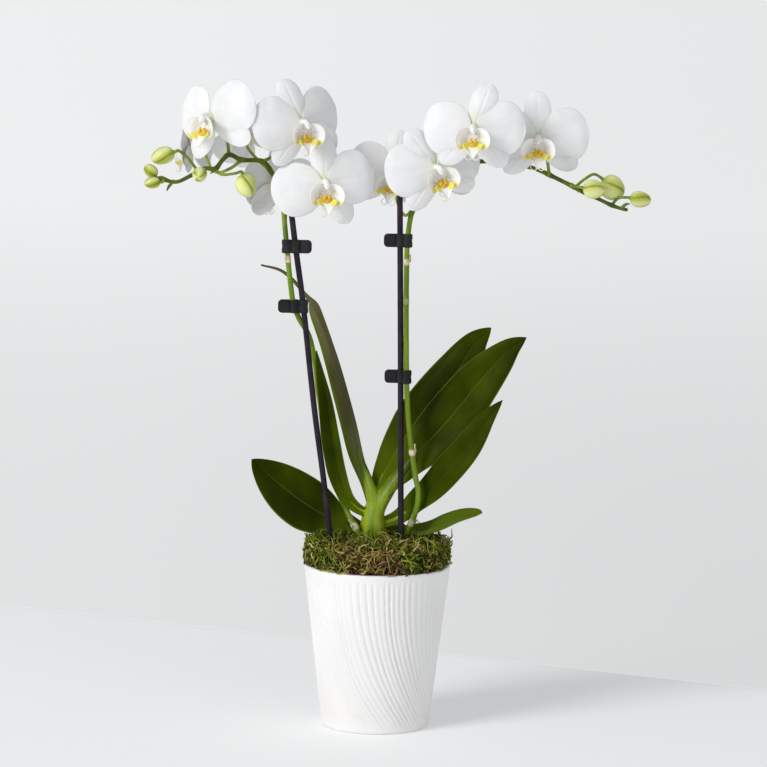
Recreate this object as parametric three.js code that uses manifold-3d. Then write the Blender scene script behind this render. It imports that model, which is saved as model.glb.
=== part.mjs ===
// Potted white moth orchid: a glazed cachepot, the grower pot and bark mix inside it, a moss top
// dressing, and the plant itself with seven leaves and two staked flower spikes.
// Millimetres, +Z up. The origin is the middle of the pot's base, and the plant is seen from -Y.
import * as THREE from "three";
import { mergeVertices } from "three/addons/utils/BufferGeometryUtils.js";
import Module from "manifold-3d";

const wasm = await Module();
wasm.setup();

// ---- driving dimensions ----
const gap = 0.3; // clearance between pieces that touch

const potHeight = 128.5;
const rimRadius = 57.5;
const baseRadius = 42.3;
const potWall = 4;
const potFloor = 6;
const potBevel = 1.6;
const potSegments = 32;

const linerWall = 1.2;
const linerFit = 0.5; // play of the grower pot inside the cachepot
const linerDrop = 5.5; // its lip sits this far below the rim
const drainHoleRadius = 4;
const drainHoleCircle = 22;
const drainHoles = 6;

const mixDrop = 12; // top of the bark below the rim
const mossSide = 15; // how far the moss stands above the rim at its edge
const mossCrown = 22; // and around the plant
const mossInset = 1.5;

const plantHeight = 380; // rim to the top of the tallest flower
const drawnHeight = 380; // the height that the points below are given for
const rise = plantHeight / drawnHeight;

const crownRadius = 7;
const crownAt = [-4, 0];
const rootRadius = 2.4;
const rootAngles = [12, 66, 120, 164, 262];

const stakeRadius = 2.3;
const spikeRadius = 2.1;
const rachisRadius = 1.7;
const pedicelRadius = 1.2;

const leafThickness = 2.2;
const tepalThickness = 1.1;
const petalReach = 40; // centre of the flower to the tip of a petal
const petalWidth = 42;
const dorsalReach = 36;
const lateralReach = 38;
const sepalWidth = 21;
const heartRadius = 4; // the knob that the five tepals grow from

const clipHeight = 10.5;
const clipWall = 1.3;
const clipTab = 10.5;

// ---- solids ----
const colour = (hex, roughness) => new THREE.MeshStandardMaterial({ color: hex, roughness, metalness: 0 });
const glaze = colour(0xf1f0ee, 0.45);
const linerPlastic = colour(0x1c1d1c, 0.5);
const bark = colour(0x4a3220, 0.95);
const mossGreen = colour(0x6b7a2c, 0.95);
const leafGreen = colour(0x3d6114, 0.4);
const crownGreen = colour(0x7c9a26, 0.45);
const stemGreen = colour(0x6c9a23, 0.45);
const stakePlastic = colour(0x2a2230, 0.45);
const clipPlastic = colour(0x1b1b1e, 0.4);
const tepalWhite = colour(0xf4f3f2, 0.6);
const lipYellow = colour(0xe3bd3c, 0.5);
const budGreen = colour(0xb4cf5a, 0.5);

function solid(geometry) {
  let bare = geometry.index ? geometry.clone() : mergeVertices(geometry);
  bare.deleteAttribute("normal");
  bare.deleteAttribute("uv");
  bare = mergeVertices(bare, 1e-4);
  return new wasm.Manifold(new wasm.Mesh({
    numProp: 3,
    vertProperties: new Float32Array(bare.attributes.position.array),
    triVerts: new Uint32Array(bare.index.array),
  }));
}

function join(...solids) {
  return solids.reduce((sum, piece) => sum.add(piece));
}

function cut(body, ...tools) {
  return tools.reduce((rest, tool) => rest.subtract(tool), body);
}

function largestPart(body) {
  const parts = body.decompose();
  return parts.sort((a, b) => b.volume() - a.volume())[0];
}

function geometryOf(body) {
  const mesh = body.getMesh();
  const geometry = new THREE.BufferGeometry();
  geometry.setAttribute("position", new THREE.BufferAttribute(mesh.vertProperties, 3));
  geometry.setIndex(new THREE.BufferAttribute(mesh.triVerts, 1));
  geometry.computeVertexNormals();
  return geometry;
}

const part = new THREE.Group();

function add(name, body, material, parent = part) {
  const mesh = new THREE.Mesh(geometryOf(body), material);
  mesh.name = name;
  parent.add(mesh);
  return mesh;
}

// A profile of [radius, height] pairs turned about the vertical axis.
function turned(profile, segments = potSegments, x = 0, y = 0) {
  const geometry = new THREE.LatheGeometry(profile.map(([r, z]) => new THREE.Vector2(r, z)), segments);
  geometry.rotateX(Math.PI / 2);
  geometry.translate(x, y, 0);
  return solid(geometry);
}

// A point of the plant: x and y from the pot's middle, z from the rim.
const spot = ([x, y, z]) => new THREE.Vector3(x, y, potHeight + z * rise);

function tube(points, radius, sides, steps) {
  const section = new THREE.Shape(Array.from({ length: sides }, (_, i) => {
    const a = (2 * Math.PI * i) / sides;
    return new THREE.Vector2(radius * Math.cos(a), radius * Math.sin(a));
  }));
  const path = new THREE.CatmullRomCurve3(points);
  return solid(new THREE.ExtrudeGeometry(section, { steps, extrudePath: path, bevelEnabled: false }));
}

// A thin plate whose middle surface is surface(u, t): u runs -1..1 across, t runs 0..1 along.
// Across, along and the surface's normal are right-handed.
function plate(surface, thickness, across, along, pace = (t) => t) {
  const geometry = new THREE.BoxGeometry(2, 1, 1, across, along, 1);
  const position = geometry.attributes.position;
  for (let i = 0; i < position.count; i++) {
    const { point, normal } = surface(position.getX(i), pace(position.getY(i) + 0.5));
    point.addScaledVector(normal, position.getZ(i) * thickness);
    position.setXYZ(i, point.x, point.y, point.z);
  }
  return solid(geometry);
}

// ---- cachepot, grower pot, bark and moss ----
const potRadiusAt = (z) => baseRadius + ((rimRadius - baseRadius) * z) / potHeight;

add("ceramic_pot", turned([
  [0, 0],
  [baseRadius - potBevel, 0],
  [potRadiusAt(potBevel), potBevel],
  [potRadiusAt(potHeight - 1.2), potHeight - 1.2],
  [rimRadius - 1, potHeight],
  [rimRadius - potWall + 1, potHeight],
  [potRadiusAt(potHeight - 1.2) - potWall, potHeight - 1.2],
  [potRadiusAt(potFloor) - potWall, potFloor],
  [0, potFloor],
]), glaze);

const linerBottom = potFloor + gap;
const linerTop = potHeight - linerDrop;
const linerRadiusAt = (z) => potRadiusAt(z) - potWall - linerFit;
const drainTools = Array.from({ length: drainHoles }, (_, i) => {
  const a = (2 * Math.PI * i) / drainHoles;
  const hole = new THREE.CylinderGeometry(drainHoleRadius, drainHoleRadius, 6 * linerWall, 10);
  hole.rotateX(Math.PI / 2);
  hole.translate(drainHoleCircle * Math.cos(a), drainHoleCircle * Math.sin(a), linerBottom);
  return solid(hole);
});
add("grower_pot", cut(turned([
  [0, linerBottom],
  [linerRadiusAt(linerBottom), linerBottom],
  [linerRadiusAt(linerTop), linerTop],
  [linerRadiusAt(linerTop) - linerWall, linerTop],
  [linerRadiusAt(linerBottom) - linerWall, linerBottom + linerWall],
  [0, linerBottom + linerWall],
]), ...drainTools), linerPlastic);

const mixBottom = linerBottom + linerWall + gap;
const mixTop = potHeight - mixDrop;
const mixRadiusAt = (z) => linerRadiusAt(z) - linerWall - gap;
const mixBlock = turned([
  [0, mixBottom],
  [mixRadiusAt(mixBottom), mixBottom],
  [mixRadiusAt(mixTop), mixTop],
  [0, mixTop],
]);

const mossBottom = mixTop + gap;
const aboveLiner = linerTop + gap;
const aboveRim = potHeight + gap;
const mossRadius = rimRadius - mossInset;
const mossBlock = turned([
  [0, mossBottom],
  [mixRadiusAt(mossBottom), mossBottom],
  [mixRadiusAt(linerTop), aboveLiner],
  [linerRadiusAt(linerTop), aboveLiner],
  [linerRadiusAt(linerTop), aboveRim],
  [mossRadius - 1, aboveRim],
  [mossRadius, aboveRim + 0.4 * mossSide],
  [mossRadius - 3.5, aboveRim + 0.93 * mossSide],
  [0.55 * mossRadius, aboveRim + 0.5 * (mossSide + mossCrown)],
  [0, potHeight + mossCrown],
]);

// ---- stakes ----
const stakeFoot = mixBottom + 8;
function stakeRoute(points) {
  const route = points.map(spot);
  const [first, second] = route;
  const slope = (first.x - second.x) / (first.z - second.z);
  const foot = new THREE.Vector3(first.x + slope * (stakeFoot - first.z), first.y, stakeFoot);
  return [foot, ...route];
}
const leftStakeRoute = stakeRoute([[-36.2, -12, 14], [-42.4, -12, 64], [-50.6, -12, 121], [-61.2, -12, 209],
  [-66.3, -12, 244], [-72, -12, 286]]);
const rightStakeRoute = stakeRoute([[18.3, -12, 17], [16.9, -12, 97], [14.9, -12, 205], [13, -12, 294]]);
const leftStake = tube(leftStakeRoute, stakeRadius, 8, 12);
const rightStake = tube(rightStakeRoute, stakeRadius, 8, 6);
const leftStakeHole = tube(leftStakeRoute, stakeRadius + gap, 8, 12);
const rightStakeHole = tube(rightStakeRoute, stakeRadius + gap, 8, 6);

// ---- crown with roots ----
const crownProfile = (extra) => {
  const r = crownRadius + extra;
  const z = (height) => potHeight + height;
  return [[0, z(-24 - extra)], [r - 2, z(-24 - extra)], [r + 1, z(-10)], [r, z(14)], [r, z(34 * rise)],
    [r + 2, z(46 * rise)], [r, z(53 * rise) + extra], [0, z(55 * rise) + extra]];
};
function crown(extra) {
  const roots = rootAngles.map((degrees) => {
    const a = (degrees * Math.PI) / 180;
    const away = (share, z) => new THREE.Vector3(
      crownAt[0] + (share * mixRadiusAt(z) - crownAt[0]) * Math.cos(a),
      crownAt[1] + share * mixRadiusAt(z) * Math.sin(a), z);
    const start = new THREE.Vector3(...crownAt, potHeight - 18);
    const route = [start, away(0.35, 0.8 * mixTop), away(0.62, 0.6 * mixTop), away(0.7, 0.3 * mixTop)];
    return tube(route, rootRadius + extra, 6, 7);
  });
  return join(turned(crownProfile(extra), 12, ...crownAt), ...roots);
}
const crownSolid = crown(0);
const crownHole = crown(gap);
add("crown_and_roots", crownSolid, crownGreen);

// ---- leaves ----
// route: the midrib from the crown to the tip. face: the way the upper side looks, at the base and at
// the tip. fold: how steeply the two halves rise from the midrib, in degrees.
const leaves = [
  { width: 44, peak: 0.5, fold: 12, face: [[-0.1, -0.8, 0.5], [-0.1, -0.85, 0.5]],
    route: [[-6, 1, 26], [-18, 4, 28], [-33, 7, 32], [-46, 9, 38], [-65, 10, 50], [-92, 9, 72],
      [-100, 7, 80]] },
  { width: 23, peak: 0.35, fold: 30, face: [[-0.6, 0.75, 0.2], [0.2, -0.15, 1]],
    route: [[-4, 1, 50], [-9, 5, 66], [-16, 9, 84], [-22, 13, 106], [-29, 17, 130], [-38, 21, 160],
      [-46, 25, 182], [-55, 27, 201], [-64, 29, 213], [-79, 29, 227], [-95, 27, 232]] },
  { width: 18, peak: 0.35, fold: 28, face: [[-0.35, -0.9, 0.25], [-0.4, -0.9, 0.1]],
    route: [[-7, 0, 39], [-16, -1, 44], [-23.7, -2, 52], [-31, -3, 70], [-37, -3, 98], [-42, -3, 129],
      [-46.5, -3, 150], [-50, -3, 168]] },
  { width: 50, peak: 0.48, fold: 10, face: [[-0.5, -0.8, 0.3], [-0.3, -0.9, 0.3]],
    route: [[-1, 4, 50], [1, 10, 64], [11, 15, 81], [28, 21, 102], [45.5, 27, 126], [61, 32, 149],
      [75, 35, 172], [87, 36, 184]] },
  { width: 44, peak: 0.5, fold: 12, face: [[-0.4, -0.8, 0.3], [-0.2, -0.93, 0.25]],
    route: [[0, 1, 46], [5, 1, 55], [22, 1, 79], [44, -1, 103], [62, -3, 125], [76, -6, 144], [91, -9, 162],
      [102, -11, 174], [113, -13, 182]] },
  { width: 26, peak: 0.52, fold: 16, face: [[-0.3, -0.93, 0.2], [-0.3, -0.85, 0.4]],
    route: [[1, -1, 34], [17.5, 0, 40], [30, -2, 50], [42, -9, 62], [54, -17, 77], [69, -21, 96],
      [84, -24, 120], [95, -25, 134]] },
  { width: 22, peak: 0.6, fold: 20, face: [[-0.2, -0.4, 0.9], [-0.3, -0.4, 0.85]],
    route: [[1, 4, 24], [13, 5, 24], [26, 4, 25], [38, 0, 27], [50, -7, 33], [65, -14, 40.5],
      [81, -20, 45]] },
];

function leaf({ width, peak, fold, face, route }, extra) {
  const path = new THREE.CatmullRomCurve3(route.map(spot));
  const from = new THREE.Vector3(...face[0]);
  const to = new THREE.Vector3(...face[1]);
  const baseHalf = 5;
  const tipHalf = 0.7;
  const halfAt = (t) => {
    if (t < peak) return baseHalf + (width / 2 - baseHalf) * THREE.MathUtils.smoothstep(t, 0, peak);
    const past = (t - peak) / (1 - peak);
    return Math.max(tipHalf, (width / 2) * (1 - past ** 2) ** 0.8);
  };
  const up = Math.sin(THREE.MathUtils.degToRad(fold));
  return plate((u, t) => {
    const along = path.getTangentAt(t);
    const toward = from.clone().lerp(to, t);
    const across = along.clone().cross(toward).normalize();
    const normal = across.clone().cross(along);
    const half = halfAt(t) + extra;
    const point = path.getPointAt(t).addScaledVector(across, u * half * Math.sqrt(1 - up * up));
    point.addScaledVector(normal, Math.abs(u) * half * up);
    return { point, normal };
  }, leafThickness + 2 * extra, 4, 9, (t) => 1 - (1 - t) ** 1.3);
}
const leafHoles = leaves.map((spec) => leaf(spec, gap));
leaves.forEach((spec, i) => {
  const neighbours = leafHoles.filter((_, other) => other < i);
  add(`leaf_${i + 1}`, largestPart(cut(leaf(spec, 0), crownHole, ...neighbours)), leafGreen);
});

// ---- flowers ----
// at: the heart. yaw turns the face towards +X from the viewer, pitch lifts it, roll leans the top
// clockwise. The five angles are clockwise from the top: dorsal sepal, right petal, right sepal,
// left sepal, left petal. sweep: how far the right and the left petal lean back, in degrees.
// petal and dorsal: shares of the usual reach where one grew short.
// from and by: where its stalk leaves the spike and bends.
const evenAngles = [0, 85, 127, -127, -85];
const leftFlowers = [
  { at: [-129, -23.5, 351], yaw: -38, pitch: 4, roll: 0, angles: [-5, 88, 124, -140, -88], dorsal: 0.72,
    petal: [0.84, 1], from: [-120, 1, 319.5], by: [[-122, 0, 334]] },
  { at: [-106, 22, 332], yaw: 172, pitch: 45, roll: 35, size: 0.8,
    from: [-89, 1, 308.5], by: [[-98, 4, 316]] },
  { at: [-146, 42, 319], yaw: -125, pitch: -5, roll: 0, size: 0.85,
    from: [-110, 1, 315.5], by: [[-120, 9, 308], [-133, 25, 305]] },
  { at: [-90, 37, 292], yaw: -140, pitch: -5, roll: 0, size: 0.92,
    from: [-84, 1, 302], by: [[-84, 12, 298]] },
  { at: [-63, -25, 346.5], yaw: 20, pitch: 2, roll: 0, angles: [-24, 72, 132, -148, -90], sweep: [18, 6],
    from: [-93.5, 1, 314.5], by: [[-82, 0, 322]] },
  { at: [-47, -24, 301], yaw: 6, pitch: 0, roll: 0, angles: [-4, 82, 140, -150, -104],
    from: [-77.5, 1, 289], by: [[-62, 2, 294]] },
];
const rightFlowers = [
  { at: [8, 14, 306], yaw: -4, pitch: 0, roll: 8, size: 0.95,
    from: [22.5, -2, 278], by: [[17, 10, 274], [11, 24, 284]] },
  { at: [40.5, -14, 313], yaw: 18, pitch: 0, roll: -14, angles: [-24, 84, 128, -138, -82],
    from: [28, 3, 288], by: [[35, 2, 300]] },
  { at: [69, -27, 345], yaw: -5, pitch: 4, roll: 0, angles: [19, 90, 140, -138, -92],
    from: [58, 14, 314], by: [[62, 15, 336], [66, 2, 348]] },
  { at: [120, 4, 336.5], yaw: -3, pitch: 2, roll: 0, angles: [-3, 84, 128, -137, -88],
    from: [129, 5, 307.5], by: [[127, 11, 320]] },
  { at: [43, 50, 307], yaw: 165, pitch: 0, roll: 10, size: 0.85,
    from: [62, 16, 315], by: [[56, 30, 311]] },
];

function tepal(reach, width, degrees, lift, sweep, widest, across) {
  const a = THREE.MathUtils.degToRad(degrees);
  const out = new THREE.Vector3(Math.sin(a), Math.cos(a), 0);
  const side = new THREE.Vector3(Math.cos(a), -Math.sin(a), 0);
  const normal = new THREE.Vector3(0, 0, 1);
  const back = Math.sin(THREE.MathUtils.degToRad(sweep));
  const claw = 2;
  const start = 2.4;
  return plate((u, t) => {
    const share = t < widest ? (t - widest) / widest : (t - widest) / (1 - widest);
    const half = Math.max(claw, (width / 2) * Math.sqrt(Math.max(0, 1 - share * share)));
    const along = start + (reach - start) * t;
    const point = out.clone().multiplyScalar(along * Math.sqrt(1 - back * back));
    point.addScaledVector(side, u * half);
    point.z = lift - back * along - 0.1 * half * u * u;
    return { point, normal };
  }, tepalThickness, across, 4, (t) => (1 - Math.cos(Math.PI * t)) / 2);
}

function tepals({ angles = evenAngles, sweep = [10, 10], petal = [1, 1], dorsal: top = 1 }) {
  const [dorsal, rightPetal, rightSepal, leftSepal, leftPetal] = angles;
  const heart = new THREE.SphereGeometry(heartRadius, 6, 4);
  heart.rotateY(Math.PI / 6);
  heart.scale(1, 1, 0.9);
  return join(
    solid(heart),
    tepal(top * dorsalReach, sepalWidth, dorsal, -1, 5, 0.55, 1),
    tepal(lateralReach, sepalWidth, rightSepal, -1, 8, 0.5, 1),
    tepal(lateralReach, sepalWidth, leftSepal, -1, 8, 0.5, 1),
    tepal(petal[0] * petalReach, petalWidth, rightPetal, 0.8, sweep[0], 0.55, 2),
    tepal(petal[1] * petalReach, petalWidth, leftPetal, 0.8, sweep[1], 0.55, 2),
  );
}

// Lip: column above, two side lobes that rise beside it and a short middle lobe below.
function lip() {
  const foot = 0.9 * heartRadius + gap;
  const column = new THREE.CylinderGeometry(2, 2.6, 9, 6);
  column.rotateX(Math.PI / 2 - 0.25);
  column.translate(0, 1.4, foot + 4.3);
  const lobe = (path, width, facing) => {
    const curve = new THREE.CatmullRomCurve3(path.map((p) => new THREE.Vector3(...p)));
    const toward = new THREE.Vector3(...facing);
    return plate((u, t) => {
      const along = curve.getTangentAt(t);
      const across = along.clone().cross(toward).normalize();
      const normal = across.clone().cross(along);
      const half = Math.max(1.2, (width / 2) * Math.sin(Math.PI * (0.12 + 0.8 * t)));
      return { point: curve.getPointAt(t).addScaledVector(across, u * half), normal };
    }, 1.3, 2, 2);
  };
  const middle = lobe([[0, 0, foot + 2], [0, -8, foot + 6], [0, -15, foot + 8], [0, -20, foot + 11]], 10,
    [0, 0.5, 1]);
  const side = (s) => lobe([[0.5 * s, -3, foot + 4], [6 * s, -8, foot + 7], [10.5 * s, -7, foot + 10],
    [12 * s, -1, foot + 12]], 14, [-s, 0.4, 0.5]);
  return join(solid(column), middle, side(1), side(-1));
}
const lipSolid = lip();

function facingOf({ yaw, pitch }) {
  const y = THREE.MathUtils.degToRad(yaw);
  const p = THREE.MathUtils.degToRad(pitch);
  return new THREE.Vector3(Math.sin(y) * Math.cos(p), -Math.cos(y) * Math.cos(p), Math.sin(p));
}

function stand(group, spec) {
  const facing = facingOf(spec);
  const yaw = THREE.MathUtils.degToRad(spec.yaw);
  const roll = THREE.MathUtils.degToRad(spec.roll);
  const right = new THREE.Vector3(Math.cos(yaw), Math.sin(yaw), 0);
  const up = facing.clone().cross(right);
  const leantUp = up.clone().multiplyScalar(Math.cos(roll)).addScaledVector(right, Math.sin(roll));
  const leantRight = right.clone().multiplyScalar(Math.cos(roll)).addScaledVector(up, -Math.sin(roll));
  group.quaternion.setFromRotationMatrix(new THREE.Matrix4().makeBasis(leantRight, leantUp, facing));
  group.position.copy(spot(spec.at));
  group.scale.setScalar(spec.size ?? 1);
}

const flowers = [...leftFlowers, ...rightFlowers];
flowers.forEach((spec, i) => {
  const flower = new THREE.Group();
  stand(flower, spec);
  part.add(flower);
  add(`flower_${i + 1}_tepals`, tepals(spec), tepalWhite, flower);
  add(`flower_${i + 1}_lip`, lipSolid, lipYellow, flower);
});

function flowerStalk(spec) {
  const facing = facingOf(spec);
  const back = spot(spec.at).addScaledVector(facing, -(0.9 * heartRadius * (spec.size ?? 1) + gap));
  const neck = back.clone().addScaledVector(facing, -7);
  return tube([spot(spec.from), ...spec.by.map(spot), neck, back], pedicelRadius, 5, 3 * spec.by.length + 3);
}

// ---- buds ----
// at: the middle. tip: the way the bud points. long and wide are its length and width.
const leftBuds = [
  { at: [-106, -6, 296.5], tip: [0.35, -0.1, -0.93], long: 18, wide: 16.5,
    from: [-130.5, 1, 308.5], by: [[-126, -3, 304.5], [-115, -6, 305.5]] },
  { at: [-142, -11, 304.5], tip: [-0.15, -0.95, -0.2], long: 13, wide: 11.5,
    from: [-143, 1, 306], by: [[-143, -2, 306]] },
  { at: [-171, -3, 318], tip: [-0.93, 0, -0.35], long: 18, wide: 13.4,
    from: [-144.5, 1, 307], by: [[-154, 0, 318.5], [-160, -2, 322.5]] },
  { at: [-181, 6, 305.5], tip: [-0.65, 0.2, 0.7], long: 12, wide: 10, from: [-171, 1, 300.5], by: [] },
  { at: [-179, -3.5, 297], tip: [-0.98, -0.15, -0.1], long: 12, wide: 9.2, from: [-170, 1, 300], by: [] },
];
const rightBuds = [
  { at: [163, -9, 298], tip: [0.95, -0.25, -0.1], long: 16.5, wide: 15, from: [146, 2, 299.5], by: [] },
  { at: [178.5, 8, 298], tip: [0.75, 0.1, -0.65], long: 20, wide: 19,
    from: [149, 2, 298.5], by: [[157, 5, 305], [164, 7, 308.5]] },
  { at: [200, 1, 290], tip: [0.98, 0, -0.12], long: 16, wide: 12.6,
    from: [178, 1, 285.5], by: [[183, 1, 290.5]] },
];

function bud({ at, tip, long, wide }) {
  const steps = 7;
  const profile = Array.from({ length: steps + 1 }, (_, i) => {
    const a = (Math.PI * i) / steps;
    const blunt = i === 0 || i === steps;
    return new THREE.Vector2(blunt ? 0 : (wide / 2) * Math.sin(a) ** 0.9, (-long / 2) * Math.cos(a));
  });
  const geometry = new THREE.LatheGeometry(profile, 10);
  const point = new THREE.Vector3(...tip).normalize();
  geometry.applyQuaternion(new THREE.Quaternion().setFromUnitVectors(new THREE.Vector3(0, 1, 0), point));
  const place = spot(at);
  geometry.translate(place.x, place.y, place.z);
  return solid(geometry);
}

function budStalk({ at, tip, long, from, by }) {
  const point = new THREE.Vector3(...tip).normalize();
  const end = spot(at).addScaledVector(point, -(long / 2 + gap));
  const neck = end.clone().addScaledVector(point, -2.5);
  return tube([spot(from), ...by.map(spot), neck, end], pedicelRadius, 5, 2 * by.length + 3);
}

[...leftBuds, ...rightBuds].forEach((spec, i) => add(`bud_${i + 1}`, bud(spec), budGreen));

// ---- flower spikes ----
const leftStem = [[-8, -4, 14], [-15, -8, 25], [-21, -5, 35], [-28, 3, 48], [-33.5, 8, 59], [-38, 9.5, 70],
  [-43.2, 9, 94], [-45.5, 9, 117], [-48.5, 8.5, 135], [-51.5, 6, 160], [-56.5, 0, 180], [-63.5, -8, 193],
  [-68.3, -12.5, 206], [-70.5, -13, 220], [-72.7, -12.5, 238], [-74.2, -11, 252], [-76, -6, 268],
  [-77.5, 0, 285]];
const leftRachis = [[-76, -6, 268], [-77.5, 0, 289], [-86, 1, 305], [-93.7, 1, 314.5], [-110.4, 1, 315.8],
  [-120.2, 1, 319.5], [-125.6, 1, 314.5], [-130.7, 1, 308.3], [-138.5, 1, 308.6], [-148.5, 1, 303.4],
  [-161, 1, 297.7], [-172.9, 1, 300.2]];
const leftBract = [[-163, 1, 298.5], [-166.5, 1, 294], [-168, 0.5, 291]];
const rightStem = [[4, -4, 12], [18, -6, 20], [24.5, -8.5, 30.5], [28.8, -10.5, 41.5], [31.3, -12.5, 53.5],
  [31, -13.5, 62], [29, -14, 70], [26, -14, 90], [23, -14.5, 113], [20.9, -14.5, 140], [19.9, -14.5, 175],
  [19.3, -14.5, 210], [19.2, -14.5, 239], [19.4, -14, 254], [20.5, -9, 266], [22.5, -2, 278]];
const rightRachis = [[20.5, -9, 266], [22.5, -2, 277], [30, 4, 290], [42, 10, 304], [58, 15, 313.5],
  [78, 19, 316.5], [100, 17, 315.5], [118.6, 10, 311.7], [129.1, 6, 307.5], [148.4, 3, 298.5],
  [157, 1, 294], [168, 1, 289.5], [176.5, 1, 285.5], [183.5, 1, 283], [189.5, 1, 281.6]];
const rightBract = [[185, 1, 282.5], [189, 0, 286], [191.5, -2, 286.5]];

const leftStemHole = tube(leftStem.map(spot), spikeRadius + gap, 6, 24);
const rightStemHole = tube(rightStem.map(spot), spikeRadius + gap, 6, 22);
const leftSpike = join(
  tube(leftStem.map(spot), spikeRadius, 6, 24),
  tube(leftRachis.map(spot), rachisRadius, 6, 20),
  tube(leftBract.map(spot), pedicelRadius, 5, 2),
  ...leftFlowers.map(flowerStalk),
  ...leftBuds.map(budStalk),
);
const rightSpike = join(
  tube(rightStem.map(spot), spikeRadius, 6, 22),
  tube(rightRachis.map(spot), rachisRadius, 6, 20),
  tube(rightBract.map(spot), pedicelRadius, 5, 2),
  ...rightFlowers.map(flowerStalk),
  ...rightBuds.map(budStalk),
);
add("left_spike", largestPart(cut(leftSpike, crownHole)), stemGreen);
add("right_spike", largestPart(cut(rightSpike, crownHole)), stemGreen);
add("left_stake", leftStake, stakePlastic);
add("right_stake", rightStake, stakePlastic);

add("potting_mix", cut(mixBlock, leftStakeHole, rightStakeHole, crownHole), bark);
add("moss", cut(mossBlock, leftStakeHole, rightStakeHole, leftStemHole, rightStemHole, crownHole,
  ...leafHoles), mossGreen);

// ---- clips that hold the spikes to the stakes ----
// Where a route passes a height.
function crossing(route, height) {
  const path = new THREE.CatmullRomCurve3(route);
  let low = 0;
  let high = 1;
  for (let i = 0; i < 30; i++) {
    const middle = (low + high) / 2;
    if (path.getPoint(middle).z < height) low = middle;
    else high = middle;
  }
  return path.getPoint(low);
}

function clip(name, stakeRoutePoints, stemRoutePoints, height, tabSide, stakeHole, stemHole) {
  const z = potHeight + height * rise;
  const atStake = crossing(stakeRoutePoints, z);
  const atStem = crossing(stemRoutePoints.map(spot), z);
  const ring = (centre, radius) => {
    const geometry = new THREE.CylinderGeometry(radius, radius, clipHeight, 12);
    geometry.rotateX(Math.PI / 2);
    geometry.translate(centre.x, centre.y, z);
    return solid(geometry);
  };
  const corner = 3;
  const w = clipTab;
  const h = clipHeight;
  const outline = new THREE.Shape();
  outline.moveTo(0, -h / 2);
  outline.lineTo(w - corner, -h / 2);
  outline.absarc(w - corner, -h / 2 + corner, corner, -Math.PI / 2, 0);
  outline.absarc(w - corner, h / 2 - corner, corner, 0, Math.PI / 2);
  outline.lineTo(0, h / 2);
  const tab = new THREE.ExtrudeGeometry(outline, { depth: 1.8, bevelEnabled: false, curveSegments: 3 });
  tab.rotateX(Math.PI / 2);
  if (tabSide < 0) tab.rotateZ(Math.PI);
  const root = tabSide < 0 ? Math.min(atStake.x, atStem.x) : Math.max(atStake.x, atStem.x);
  const holder = Math.abs(atStake.x - root) < 0.01 ? atStake : atStem;
  tab.translate(root + tabSide * spikeRadius, holder.y + 0.9 * tabSide, z);
  const body = join(ring(atStake, stakeRadius + gap + clipWall), ring(atStem, spikeRadius + gap + clipWall),
    solid(tab));
  add(name, largestPart(cut(body, stakeHole, stemHole)), clipPlastic);
}
clip("clip_1", leftStakeRoute, leftStem, 250, 1, leftStakeHole, leftStemHole);
clip("clip_2", leftStakeRoute, leftStem, 203.5, -1, leftStakeHole, leftStemHole);
clip("clip_3", rightStakeRoute, rightStem, 256, -1, rightStakeHole, rightStemHole);
clip("clip_4", rightStakeRoute, rightStem, 150, -1, rightStakeHole, rightStemHole);

export default part;
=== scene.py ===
"""White moth orchid in a pleated ceramic pot: the looks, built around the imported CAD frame.

Lengths in the helpers are millimetres in the part's own frame. Shape.make turns them into metres.
"""
import math

import bpy
import numpy as np
from mathutils import Matrix, Vector


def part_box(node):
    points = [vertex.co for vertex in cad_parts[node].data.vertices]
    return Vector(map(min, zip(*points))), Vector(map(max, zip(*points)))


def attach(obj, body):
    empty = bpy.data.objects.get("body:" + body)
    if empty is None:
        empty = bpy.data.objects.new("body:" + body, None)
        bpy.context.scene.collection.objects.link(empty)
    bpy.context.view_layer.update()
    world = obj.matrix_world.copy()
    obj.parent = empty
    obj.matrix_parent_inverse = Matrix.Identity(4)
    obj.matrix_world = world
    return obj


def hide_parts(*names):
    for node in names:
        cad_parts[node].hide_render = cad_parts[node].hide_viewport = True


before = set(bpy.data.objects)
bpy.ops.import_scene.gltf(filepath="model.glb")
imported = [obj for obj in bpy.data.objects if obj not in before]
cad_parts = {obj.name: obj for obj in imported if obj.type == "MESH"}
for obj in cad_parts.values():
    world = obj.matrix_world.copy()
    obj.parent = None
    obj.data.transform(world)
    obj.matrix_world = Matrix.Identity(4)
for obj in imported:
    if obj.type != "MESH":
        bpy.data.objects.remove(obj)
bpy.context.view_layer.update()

MM = 0.001
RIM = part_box("ceramic_pot")[1].z / MM
rng = np.random.default_rng(20)


# ---- shape helpers ----
def unit(v):
    v = np.asarray(v, float)
    return v / np.maximum(np.linalg.norm(v, axis=-1, keepdims=True), 1e-9)


def smooth(x, low=0.0, high=1.0):
    t = np.clip((np.asarray(x, float) - low) / (high - low), 0, 1)
    return t * t * (3 - 2 * t)


def spot(p):
    """A point of the plant, given from the middle of the pot and its rim."""
    return np.array([p[0], p[1], RIM + p[2]], float)


def spots(points):
    return [spot(p) for p in points]


def ripple(points, size, seed, octaves=3):
    """A smooth seeded noise, about -1 to 1, with bumps about size across."""
    own = np.random.default_rng(seed)
    points = np.asarray(points, float)
    total = np.zeros(points.shape[:-1])
    for k in range(octaves):
        for _ in range(4):
            way = unit(own.normal(size=points.shape[-1]))
            total += np.sin(points @ way * 2 * math.pi * 2**k / size + own.uniform(0, 7)) / (2.2 * 1.7**k)
    return total / 1.8


def circle(count):
    """Evenly spaced angles once round."""
    return np.linspace(0, 2 * math.pi, count, endpoint=False)


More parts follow.
